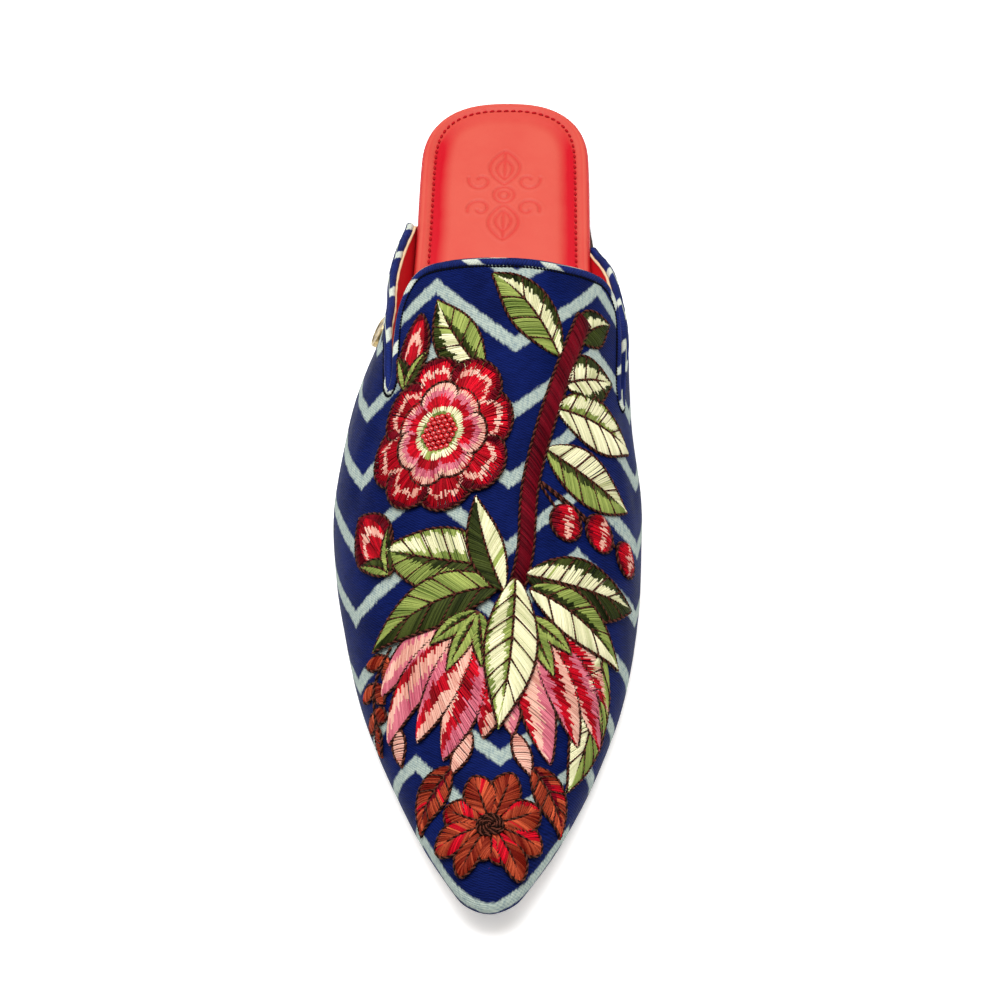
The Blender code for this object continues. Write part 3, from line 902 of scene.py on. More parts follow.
# ---- finishes ---------------------------------------------------------------
@dataclass(frozen=True)
class Finish:
    """What every finish shares: a name and the constants of its shader."""

    name: str
    roughness: float = 0.5
    specular: float = 0.5
    metallic: float = 0.0
    coat: float = 0.0
    coat_roughness: float = 0.1
    sheen: float = 0.0
    sheen_roughness: float = 0.3
    sheen_tint: Colour = (1.0, 1.0, 1.0)

    def surface(self, tree: Tree) -> Surface:
        """What changes over the piece.

        Args:
            tree: The material's tree.

        Returns:
            Sockets or values for the shader's inputs, by name.
        """
        raise NotImplementedError

    def material(self) -> Material:
        """Build the material.

        Returns:
            A material with the constants and the surface on its shader.
        """
        material = bpy.data.materials.new(self.name)
        material.use_nodes = True
        tree = Tree(material.node_tree)
        shader = material.node_tree.nodes["Principled BSDF"]
        constants = {
            "Roughness": self.roughness, "Specular IOR Level": self.specular,
            "Metallic": self.metallic, "Coat Weight": self.coat,
            "Coat Roughness": self.coat_roughness, "Sheen Weight": self.sheen,
            "Sheen Roughness": self.sheen_roughness, "Sheen Tint": (*self.sheen_tint, 1.0)}
        for name, value in (constants | self.surface(tree)).items():
            tree.feed(shader.inputs[name], value)
        return material


@dataclass(frozen=True)
class PrintedTwill(Finish):
    """Navy twill printed with pale zigzags."""

    ground: Colour = (0.0042, 0.0122, 0.106)
    deep: Colour = (0.0004, 0.0016, 0.018)
    pale: Colour = (0.45, 0.51, 0.43)
    pale_deep: Colour = (0.16, 0.23, 0.25)
    print_sizes: tuple[tuple[str, float], ...] = ()

    def surface(self, tree: Tree) -> Surface:
        """Ribs, slubs and print, laid out by the piece's cloth map.

        Args:
            tree: The material's tree.

        Returns:
            Sockets for the shader's inputs, by name.
        """
        place = tree.node("ShaderNodeUVMap", uv_map="cloth").outputs[0]
        weave = tree.group(twill_group(), Place=place)
        slub, rib, cloud = (weave[key] for key in ("Slub", "Rib", "Cloud"))
        printed = tree.group(chevron_group(), Place=place, **dict(self.print_sizes))
        uneven = tree.sum("MULTIPLY_ADD", slub, 0.5, tree.sum("MULTIPLY", cloud, 0.5))
        tone = tree.sum("MULTIPLY", tree.step(uneven, 0.36, 0.64), 0.45)
        navy = tree.blend(tree.sum("MULTIPLY_ADD", rib, 0.55, tone), self.deep, self.ground)
        rubbed = tree.sum("MULTIPLY_ADD", tree.step(printed["Streak"], 0.3, 0.62), 0.55,
                          tree.sum("MULTIPLY", rib, 0.45))
        chalk = tree.blend(rubbed, self.pale_deep, self.pale)
        worn = tree.sum("MULTIPLY", printed["Mask"],
                        tree.sum("MULTIPLY_ADD", slub, 0.30, 0.80, clamp=True))
        return {"Base Color": tree.blend(worn, navy, chalk),
                "Normal": tree.bump(tree.sum("MULTIPLY_ADD", slub, 0.6, rib), 0.00011)}


@dataclass(frozen=True)
class GrainedLeather(Finish):
    """Dyed leather whose tone follows an optional shade painted on the piece."""

    light: Colour = (0.80, 0.10, 0.075)
    dark: Colour = (0.70, 0.02, 0.03)
    grain: float = 1400.0
    depth: float = 0.00002
    shade: str = ""

    def surface(self, tree: Tree) -> Surface:
        """Pebbled grain, darker in its pores and where shade is painted on the piece.

        Args:
            tree: The material's tree.

        Returns:
            Sockets for the shader's inputs, by name.
        """
        grain = tree.group(grain_group(), Place=tree.place(), Grain=self.grain)
        tone = tree.sum("MULTIPLY", tree.step(grain["Tone"], 0.35, 0.75), 0.16)
        if self.shade:
            painted = tree.node("ShaderNodeAttribute", attribute_name=self.shade).outputs["Fac"]
            tone = tree.sum("ADD", tone, painted, clamp=True)
        pores = tree.sum("MULTIPLY_ADD", grain["Height"], -0.06, 0.06)
        tone = tree.sum("ADD", tone, pores, clamp=True)
        rough = tree.sum("MULTIPLY_ADD", grain["Tone"], 0.12, self.roughness - 0.06)
        return {"Base Color": tree.blend(tone, self.light, self.dark), "Roughness": rough,
                "Normal": tree.bump(grain["Height"], self.depth)}


@dataclass(frozen=True)
class Floss(Finish):
    """Twisted silky embroidery thread."""

    light: Colour = (0.8, 0.8, 0.8)
    dark: Colour = (0.5, 0.5, 0.5)
    depth: float = 1.0

    def surface(self, tree: Tree) -> Surface:
        """Each strand in its own tone, with fine fibres.

        Args:
            tree: The material's tree.

        Returns:
            Sockets for the shader's inputs, by name.
        """
        shade = tree.node("ShaderNodeAttribute", attribute_name="shade").outputs["Fac"]
        fibre = tree.noise(tree.place(), 2400.0, 2.0)
        mixed = tree.sum("MULTIPLY_ADD", fibre, 0.4, tree.sum("SUBTRACT", shade, 0.2), clamp=True)
        mixed = tree.sum("POWER", mixed, self.depth)
        return {"Base Color": tree.blend(mixed, self.dark, self.light),
                "Normal": tree.bump(tree.noise(tree.place(), 7000.0, 1.0), 0.00004)}


@dataclass(frozen=True)
class BlownGlass(Finish):
    """Glossy opaque glass beads."""

    body: Colour = (0.62, 0.006, 0.008)
    rim: Colour = (0.30, 0.002, 0.004)

    def surface(self, tree: Tree) -> Surface:
        """Clouded colour."""
        return {"Base Color": tree.blend(tree.noise(tree.place(), 500.0, 1.0), self.rim, self.body)}


@dataclass(frozen=True)
class WornBrass(Finish):
    """Gilt metal dulled in patches of stain."""

    bright: Colour = (0.46, 0.35, 0.16)
    dull: Colour = (0.13, 0.09, 0.04)

    def surface(self, tree: Tree) -> Surface:
        """Stains and fine dents.

        Args:
            tree: The material's tree.

        Returns:
            Sockets for the shader's inputs, by name.
        """
        place = tree.place()
        stain = tree.step(tree.noise(place, 420.0, 4.0, 0.65), 0.35, 0.65)
        return {"Base Color": tree.blend(stain, self.dull, self.bright),
                "Roughness": tree.sum("MULTIPLY_ADD", stain, -0.2, 0.52),
                "Normal": tree.bump(tree.noise(place, 1800.0, 2.0), 0.00008)}


@dataclass(frozen=True)
class StackedLeather(Finish):
    """Layers of sole leather, pressed and polished at the edge."""

    light: Colour = (0.060, 0.030, 0.018)
    dark: Colour = (0.018, 0.010, 0.008)
    layer: float = 0.0032

    def surface(self, tree: Tree) -> Surface:
        """Level seams between the layers, and fibres that run along them.

        Args:
            tree: The material's tree.

        Returns:
            Sockets for the shader's inputs, by name.
        """
        place = tree.place()
        grain = tree.group(grain_group(), Place=place, Grain=900.0)
        up = tree.node("ShaderNodeSeparateXYZ", {0: place}).outputs[2]
        wander = tree.sum("MULTIPLY", tree.noise(place, 60.0, 2.0), 0.0006)
        level = tree.sum("DIVIDE", tree.sum("ADD", up, wander), self.layer)
        line = tree.step(tree.sum("PINGPONG", level, 0.5), 0.0, 0.05)
        fibre = tree.noise(tree.vector("MULTIPLY", place, (1.0, 1.0, 6.0)), 300.0, 4.0, 0.7)
        tone = tree.sum("MULTIPLY", tree.step(fibre, 0.3, 0.75), line)
        height = tree.sum("ADD", line, tree.sum("MULTIPLY", grain["Height"], 0.25))
        return {"Base Color": tree.blend(tone, self.dark, self.light),
                "Roughness": tree.sum("MULTIPLY_ADD", fibre, 0.25, self.roughness - 0.12),
                "Normal": tree.bump(height, 0.00008)}


@dataclass(frozen=True)
class SatinRubber(Finish):
    """Moulded sole rubber with a faint sanded grain."""

    light: Colour = (0.044, 0.026, 0.018)
    dark: Colour = (0.022, 0.013, 0.010)
    grain: float = 1100.0
    depth: float = 0.00003

    def surface(self, tree: Tree) -> Surface:
        """Grain with its changes of tone.

        Args:
            tree: The material's tree.

        Returns:
            Sockets for the shader's inputs, by name.
        """
        grain = tree.group(grain_group(), Place=tree.place(), Grain=self.grain)
        rough = tree.sum("MULTIPLY_ADD", grain["Tone"], 0.15, self.roughness - 0.08)
        return {"Base Color": tree.blend(grain["Tone"], self.dark, self.light),
                "Roughness": rough, "Normal": tree.bump(grain["Height"], self.depth)}


@dataclass(frozen=True)
class SoftPlain(Finish):
    """Plain matt paint for the studio, faintly lit from behind."""

    tone: Colour = (0.9, 0.9, 0.9)
    glow: float = 0.0

    def surface(self, tree: Tree) -> Surface:
        """Barely clouded tone, and the glow.

        Args:
            tree: The material's tree.

        Returns:
            Sockets or values for the shader's inputs, by name.
        """
        cloud = tree.noise(tree.place(), 3.0, 2.0)
        faint = tuple(0.995 * c for c in self.tone)
        return {"Base Color": tree.blend(cloud, faint, self.tone),
                "Emission Color": (1.0, 1.0, 1.0, 1.0), "Emission Strength": self.glow}


# ---- geometry trees ---------------------------------------------------------
class Growth(Group):
    """A geometry tree that grows thread or beads over a mesh, in one material."""

    def __init__(self, name: str, **sizes: float) -> None:
        """Start the tree.

        Args:
            name: Its name.
            **sizes: Value of each of its own inputs.
        """
        super().__init__(name, "Geometry", {"Geometry": "Geometry"}, Geometry="Geometry", **sizes,
                         Material="Material")

    def finish(self, geometry: NodeSocket) -> NodeTree:
        """Make instances real, shade them smooth and give them their material.

        Args:
            geometry: What has been grown.

        Returns:
            The filled tree.
        """
        real = self.node("GeometryNodeRealizeInstances", {0: geometry})
        smooth = self.node("GeometryNodeSetShadeSmooth", {"Geometry": real.outputs[0]})
        painted = self.node("GeometryNodeSetMaterial", {"Geometry": smooth.outputs[0],
                                                        "Material": self["Material"]})
        return self.close(Geometry=painted.outputs[0])

    def curves(self) -> NodeSocket:
        """The incoming mesh's edges as curves."""
        return self.node("GeometryNodeMeshToCurve", {0: self["Geometry"]}).outputs[0]

    def evenly(self, step: NodeSocket) -> NodeSocket:
        """The same curves with a point at each step of their length."""
        return self.node("GeometryNodeResampleCurve", {0: self.curves(), "Length": step},
                         mode="LENGTH").outputs[0]

    def place_on(self, points: NodeSocket, shape: NodeSocket, size: Sequence[object],
                 **turn: object) -> NodeTree:
        """Put a shape on every point, and finish the tree.

        Args:
            points: Points or curves.
            shape: The shape.
            size: Its scale along each of its axes.
            **turn: Its rotation, when it has one.

        Returns:
            The filled tree.
        """
        scale = self.node("ShaderNodeCombineXYZ", dict(enumerate(size)))
        return self.finish(self.node("GeometryNodeInstanceOnPoints", {
            "Points": points, "Instance": shape, "Scale": scale.outputs[0], **turn}).outputs[0])

    def sweep(self, curve: NodeSocket, radius: NodeSocket) -> NodeSocket:
        """Round thread along every curve, with the tree's number of sides.

        Args:
            curve: The curves.
            radius: Radius of the thread.

        Returns:
            The thread's mesh.
        """
        profile = self.node("GeometryNodeCurvePrimitiveCircle",
                            {"Resolution": self["Sides"], "Radius": 1.0})
        sized = self.node("GeometryNodeSetCurveRadius", {"Curve": curve, "Radius": radius})
        made = self.node("GeometryNodeCurveToMesh", {"Curve": sized.outputs[0],
                                                     "Profile Curve": profile.outputs[0],
                                                     "Fill Caps": True})
        for socket in made.inputs:
            if socket.name == "Scale":
                self.feed(socket, radius)
        return made.outputs[0]


@lru_cache
def floss_tree() -> NodeTree:
    """Single strands of thread along the edges of a mesh, as thick as its girth says.

    Returns:
        The geometry tree.
    """
    t = Growth("floss_strands", Sides=5)
    girth = t.node("GeometryNodeInputNamedAttribute", {"Name": "girth"}, data_type="FLOAT")
    return t.finish(t.sweep(t.curves(), girth.outputs[0]))


@lru_cache
def cord_tree() -> NodeTree:
    """Two plies twisted together along the edges of a mesh.

    Returns:
        The geometry tree.
    """
    t = Growth("twisted_cord", Step=0.0003, Lay=0.002, Spread=0.0002, Thread=0.0002, Sides=5)
    even = t.evenly(t["Step"])
    run = t.node("GeometryNodeSplineParameter").outputs["Length"]
    phase = t.sum("MULTIPLY", t.sum("DIVIDE", run, t["Lay"]), 2.0 * math.pi)
    normal = t.node("GeometryNodeInputNormal").outputs[0]
    across = t.vector("CROSS_PRODUCT", t.node("GeometryNodeInputTangent").outputs[0], normal)
    joined = t.node("GeometryNodeJoinGeometry")
    for ply in (0, 1):
        angle = t.sum("ADD", phase, ply * math.pi)
        out = t.vector("ADD", t.vector("SCALE", normal, t.sum("COSINE", angle)),
                       t.vector("SCALE", across, t.sum("SINE", angle)))
        moved = t.node("GeometryNodeSetPosition", {
            "Geometry": even, "Offset": t.vector("SCALE", out, t["Spread"])})
        marked = t.node("GeometryNodeStoreNamedAttribute", {
            "Geometry": moved.outputs[0], "Name": "shade", "Value": float(ply)},
            data_type="FLOAT", domain="POINT")
        t.feed(joined.inputs[0], t.sweep(marked.outputs[0], t["Thread"]))
    return t.finish(joined.outputs[0])


@lru_cache
def stitch_tree() -> NodeTree:
    """Single running stitches at an even pitch along the edges of a mesh.

    Returns:
        The geometry tree.
    """
    t = Growth("running_stitches", Pitch=0.0022, Length=0.0014, Thread=0.0003, Slant=0.0)
    grain = t.node("GeometryNodeMeshUVSphere", {"Segments": 8, "Rings": 6, "Radius": 1.0})
    tangent = t.node("GeometryNodeInputTangent").outputs[0]
    along = t.node("FunctionNodeAlignRotationToVector", {"Vector": tangent}, axis="X")
    tilt = t.node("ShaderNodeCombineXYZ", {2: t["Slant"]})
    turned = t.node("FunctionNodeRotateRotation", {0: along.outputs[0], 1: tilt.outputs[0]},
                    rotation_space="LOCAL")
    size = (t.sum("MULTIPLY", t["Length"], 0.5), t["Thread"], t["Thread"])
    return t.place_on(t.evenly(t["Pitch"]), grain.outputs[0], size, Rotation=turned.outputs[0])


@lru_cache
def bead_tree() -> NodeTree:
    """A round bead on every vertex, each of its own size.

    Returns:
        The geometry tree.
    """
    t = Growth("sewn_beads", Radius=0.0008, Uneven=0.06, Seed=3)
    ball = t.node("GeometryNodeMeshIcoSphere", {"Radius": 1.0, "Subdivisions": 3})
    chance = t.node("FunctionNodeRandomValue", {
        "Seed": t["Seed"], 2: t.sum("SUBTRACT", 1.0, t["Uneven"]),
        3: t.sum("ADD", 1.0, t["Uneven"])}, data_type="FLOAT")
    size = t.sum("MULTIPLY", chance.outputs[1], t["Radius"])
    spots = t.node("GeometryNodeMeshToPoints", {"Mesh": t["Geometry"]})
    return t.place_on(spots.outputs[0], ball.outputs[0], (size, size, size))


def hand_in(obj: Object, slot: str = "", *nodes: str) -> None:
    """Let a finished piece ride on the shoe, hide the CAD parts it replaces and log its triangles.

    Args:
        obj: The piece.
        slot: Not used.
        *nodes: CAD nodes that it replaces.
    """
    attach(obj, BODY)
    if nodes:
        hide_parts(*nodes)
    triangles = sum(len(p.vertices) - 2 for p in obj.data.polygons)
    LOG.info("%s: %d triangles", obj.name, triangles)


def path_mesh(name: str, paths: Iterable[Array]) -> Mesh:
    """Mesh of bare edges, one run for each path.

    Args:
        name: Name of the mesh.
        paths: Last points along each.

    Returns:
        The mesh.
    """
    points, edges = [], []
    for path in paths:
        edges += [(len(points) + i, len(points) + i + 1) for i in range(len(path) - 1)]
        points += list(path)
    mesh = bpy.data.meshes.new(name)
    mesh.from_pydata(LAST.place(np.array(points)).tolist(), edges, [])
    return mesh


def grow(mesh: Mesh, tree: NodeTree, finish: Finish, **inputs: object) -> None:
    """Run a geometry tree over a mesh and attach the result to the shoe as a plain piece.

    Args:
        mesh: Bare points or edges, with the name of the piece.
        tree: The geometry tree.
        finish: What the piece is made of.
        **inputs: The tree's other inputs by name.
    """
    inputs["Material"] = finish.material()
    obj = new_object(mesh.name, mesh)
    modifier = obj.modifiers.new("grow", "NODES")
    modifier.node_group = tree
    for item in tree.interface.items_tree:
        if item.item_type == "SOCKET" and item.in_out == "INPUT" and item.name in inputs:
            modifier[item.identifier] = inputs[item.name]
    graph = bpy.context.evaluated_depsgraph_get()
    obj.data = bpy.data.meshes.new_from_object(obj.evaluated_get(graph))
    obj.modifiers.remove(modifier)
    bpy.data.meshes.remove(mesh)
    obj.data.name = obj.name
    hand_in(obj)


# ---- upper ------------------------------------------------------------------
@dataclass(frozen=True)
class Crease:
    """A soft trough in the upper, between two (column, girth) spots."""

    start: Spot
    end: Spot
    depth: float
    width: float

    def height(self, flat: Array) -> Array:
        """How far the face is moved by the trough and the low ridge beside it.

        Args:
            flat: (column, girth) points.

        Returns:
            Height at each point, less than 0 in the trough.
        """
        away, share = from_stretch(flat, np.array(self.start), np.array(self.end))
        fade = np.sqrt(np.clip(1.0 - (2.0 * share - 1.0) ** 2, 0.0, 1.0))
        trough = bell(away, self.width)
        ridge = bell(away - 2.1 * self.width, 0.9 * self.width)
        return self.depth * (0.35 * ridge - trough) * (0.25 + 0.75 * fade)


@dataclass
class UpperWork:
    """The hollow upper: printed twill outside, red lining inside, raw edge between."""

    spacing: float = 1.35
    edge_spacing: float = 0.9
    creases: tuple[Crease, ...] = (
        Crease((135.0, -36.5), (158.0, -46.0), 0.34, 3.2),
        Crease((132.0, 42.0), (156.0, 49.0), 0.34, 3.2),
        Crease((112.0, -52.0), (133.0, -60.0), 0.30, 3.6),
        Crease((110.0, 56.0), (134.0, 62.0), 0.30, 3.6),
        Crease((176.0, -52.0), (196.0, -45.0), 0.16, 4.0),
        Crease((172.0, 54.0), (194.0, 46.0), 0.16, 4.0),
        Crease((108.0, -26.0), (122.0, -14.0), 0.16, 3.4),
        Crease((226.0, -27.0), (246.0, -17.0), 0.10, 2.6),
        Crease((224.0, 26.0), (246.0, 17.0), 0.10, 2.6))
    ripple: float = 0.07
    wing_run: float = 2.0                   # how far the feather runs back past the open edge

    def pattern(self) -> Array:
        """Outline of the upper laid flat.

        Returns:
            (column, signed girth) corners.
        """
        corners = topline(self.edge_spacing)
        feather = []
        for side, start in ((-1, corners[-1, 0]), (1, corners[0, 0])):
            low = start - self.wing_run
            count = math.ceil((SKIN.TIP - low) / (0.9 * self.spacing))
            columns = np.linspace(low, SKIN.TIP, count)
            feather.append(np.stack([columns, side * SKIN.girth(columns, side)], 1))
        tip = float(SKIN.girth(SKIN.TIP, 1))
        seam = [(SKIN.TIP, tip * k / 16) for k in range(-15, 16)]
        return np.vstack([corners, feather[0], seam, feather[1][::-1]])

    def sheet(self) -> tuple[Array, list[list[int]]]:
        """The outer face laid flat.

        Returns:
            (column, girth) points and the triangles between them.
        """
        polygon = self.pattern()
        rows = np.arange(50.0, SKIN.TIP, self.spacing)
        cells = np.arange(-70, 71) * self.spacing
        shift = 0.5 * self.spacing * (np.arange(len(rows)) % 2)
        grid = np.stack([np.repeat(rows, len(cells)),
                         (cells[None, :] + shift[:, None]).ravel()], 1)
        grid = grid[within(polygon, grid, 0.55 * self.spacing)]
        tip = [(SKIN.TIP - 0.6, -0.5), (SKIN.TIP - 0.6, 0.5)]
        return fill_flat(polygon, np.vstack([grid, tip]))

    def swell(self, flat: Array) -> Array:
        """How far the face stands out of the last.

        Args:
            flat: (column, girth) points.

        Returns:
            The height at each.
        """
        c, g = flat[:, 0], flat[:, 1]
        waves = (np.sin(0.21 * c + 0.13 * g + 0.6) * np.sin(0.16 * g - 0.05 * c + 1.1)
                 + 0.5 * np.sin(0.37 * c - 0.29 * g) * np.sin(0.31 * g + 0.4))
        inner = np.minimum(1.0, np.maximum(0.0, SKIN.girth(c, 1) - np.abs(g)) / 8.0)
        rise = self.ripple * waves + sum(crease.height(flat) for crease in self.creases)
        return rise * inner * ramp(SKIN.TIP - c, 2.0, 14.0)

    def on_feather(self, points: Array) -> Array:
        """Which last points lie on the upper's bottom edge."""
        return np.abs(points[:, 2] - LAST.seat(points[:, 1]) - LAST.fit_gap) < 0.05

    def build(self) -> None:
        """Make the upper's mesh, wall and all, and dress it."""
        flat, faces = self.sheet()
        points = SKIN.at(*flat.T) + SKIN.normal(*flat.T) * self.swell(flat)[:, None]
        bm = bmesh.new()
        keep = bm.verts.layers.int.new("flat")
        verts = [bm.verts.new(p) for p in LAST.place(points)]
        for index, v in enumerate(verts):
            v[keep] = index
        for face in faces:
            bm.faces.new([verts[i] for i in face])
        bmesh.ops.remove_doubles(bm, verts=bm.verts, dist=2e-6)
        bmesh.ops.recalc_face_normals(bm, faces=bm.faces)
        if max(bm.faces, key=lambda f: f.calc_center_median().z).normal.z < 0.0:
            bmesh.ops.reverse_faces(bm, faces=bm.faces)
        self.thicken(bm, points)
        index = [v[keep] for v in bm.verts]
        twill = PrintedTwill("navy_printed_twill", roughness=0.6, specular=0.028, sheen=0.035,
                             sheen_tint=(0.7, 0.85, 1.0))
        lining = GrainedLeather("red_lining", roughness=0.55, specular=0.3,
                                light=(0.60, 0.004, 0.010), dark=(0.34, 0.001, 0.004),
                                grain=1800.0)
        raw = GrainedLeather("raw_edge", roughness=0.8, specular=0.2, light=(0.62, 0.42, 0.24),
                             dark=(0.36, 0.20, 0.10), grain=2500.0)
        obj = finish_mesh("upper_shell", bm, twill, lining, raw, crease_deg=60.0)
        write_cloth(obj.data, self.cloth(obj.data, flat[index]))
        hand_in(obj, "upper", "upper")

    @staticmethod
    def cloth(mesh: Mesh, flat: Array) -> Array:
        """Where each face corner lies on the cloth; at the tip's seam, on its face's side.

        Args:
            mesh: The upper's mesh.
            flat: (column, girth) spot of each vertex.

        Returns:
            Distances across and along the cloth, in mm.
        """
        spots = flat[loop_vertices(mesh)]
        face = np.repeat(np.arange(len(mesh.polygons)), [p.loop_total for p in mesh.polygons])
        at_seam = spots[:, 0] > SKIN.TIP - 1e-6
        lean = np.bincount(face, np.where(at_seam, 0.0, spots[:, 1]))
        side = np.where(lean[face] < 0.0, -1.0, 1.0)
        girth = np.where(at_seam, side * np.abs(spots[:, 1]), spots[:, 1])
        return SKIN.cloth(spots[:, 0], girth)

    def thicken(self, bm: BMesh, points: Array) -> None:
        """Give the sheet its wall on the inner side, level at the feather.

        Args:
            bm: The outward-facing sheet.
            points: Last points of its vertices, by their kept index.
        """
        keep = bm.verts.layers.int["flat"]
        bm.normal_update()
        low = self.on_feather(points)
        sheet = list(bm.faces)
        rim = [e for e in bm.edges if e.is_boundary]
        inner = {}
        for v in list(bm.verts):
            inward = -v.normal
            if v.is_boundary and low[v[keep]]:
                inward = Vector((inward.x, inward.y, 0.0)).normalized()
            made = bm.verts.new(v.co + inward * LAST.upper_wall * MM)
            made[keep] = v[keep]
            inner[v] = made
        for e in rim:
            a, b = e.link_loops[0].vert, e.link_loops[0].link_loop_next.vert
            face = bm.faces.new((b, a, inner[a], inner[b]))
            face.material_index = 2
        for f in sheet:
            face = bm.faces.new([inner[v] for v in reversed(f.verts)])
            face.material_index = 1


# ---- piping and seams -------------------------------------------------------
@dataclass
class EdgeWork:
    """Rolled piping round the open edge, its seam stitches and the raw lining edge."""

    radius: float = 1.18
    overlap: float = 0.28
    sink: float = 0.50
    step: float = 0.9
    sides: int = 16
    # how far along the edge each pale band lies, and their distance on the cloth
    bands: tuple[float, ...] = (7.8, 25.9, 44.2, 66.5, 81.0, 90.0, 112.0, 138.4, 159.6, 182.0,
                                201.7, 215.0, 242.4, 272.2, 291.5, 310.6)
    band_gap: float = 20.0
    stitch_inset: float = 0.50
    stitch_sink: float = 0.05
    backing_radius: float = 0.42

    def __post_init__(self) -> None:
        """Find the rim's points, the way out of the cloth there, and the face's normals."""
        self.flat = topline(self.step)
        self.points, self.normal = SKIN.at(*self.flat.T), SKIN.normal(*self.flat.T)
        self.out = unit(np.cross(unit(np.gradient(self.points, axis=0)), self.normal))
        if self.out[len(self.out) // 2, 1] > 0.0:
            self.out = -self.out

    def build_piping(self) -> None:
        """The piping, in one length, with its cloth running along it."""
        path = self.points + self.out * (self.radius - self.overlap) - self.normal * self.sink
        count = np.arange(len(path))
        uneven = 1.0 + 0.025 * np.sin(0.9 * count) * np.sin(0.23 * count + 1.0)
        bm, places = tube(path, self.radius * uneven, self.sides)
        bands = {"Width": 0.0027, "Repeat": 0.9, "Centre": 0.0, "Rise": 0.5, "Spacing": 0.020,
                 "First": 0.0, "Ragged": 0.0009}
        obj = finish_mesh("topline_piping_cloth", bm, PrintedTwill(
            "bias_cut_piping", roughness=0.7, specular=0.10, print_sizes=tuple(bands.items()),
            ground=(0.009, 0.022, 0.165), pale=(0.66, 0.69, 0.58), pale_deep=(0.36, 0.42, 0.37)))
        along = np.interp(places[:, 0], self.bands, self.band_gap * np.arange(len(self.bands)))
        strip = np.stack([places[:, 1], along], 1)
        write_cloth(obj.data, strip[loop_vertices(obj.data)])
        hand_in(obj, "piping", "topline_piping")

    def build_stitches(self) -> None:
        """Tight dark stitches just inside the piping, thick and close enough to also paint the shadow along
        its seam.
        """
        left = leftward(self.flat) * self.stitch_inset
        flat = max(self.flat + left, self.flat - left, key=lambda path: path[:, 0].min())
        path = SKIN.at(*flat.T) - SKIN.normal(*flat.T) * self.stitch_sink
        # the near-black, thick, close stitches are real stitches and also paint the shadow in the groove
        # beside the piping
        grow(path_mesh("topline_stitches", [path]), stitch_tree(),
             Floss("seam_thread_and_painted_shadow", roughness=0.8, specular=0.03,
                   light=(0.010, 0.010, 0.022), dark=(0.002, 0.002, 0.005)),
             Pitch=1.0 * MM, Length=1.15 * MM, Thread=0.38 * MM, Slant=0.35)

    def build_lining_edge(self) -> None:
        """Thin cream edge of the backing between piping and lining."""
        path = self.points + self.out * 0.25 - self.normal * (LAST.upper_wall - 0.15)
        uneven = 0.05 * np.sin(0.7 * np.arange(len(path)))
        hand_in(finish_mesh("lining_edge", tube(path, self.backing_radius + uneven, 8)[0],
                            GrainedLeather("cream_backing_edge", roughness=0.8, specular=0.2,
                                           light=(0.70, 0.50, 0.30), dark=(0.45, 0.26, 0.14),
                                           grain=2600.0)))

    def build(self) -> None:
        """Build every part of the edge."""
        self.build_piping()
        self.build_stitches()
        self.build_lining_edge()


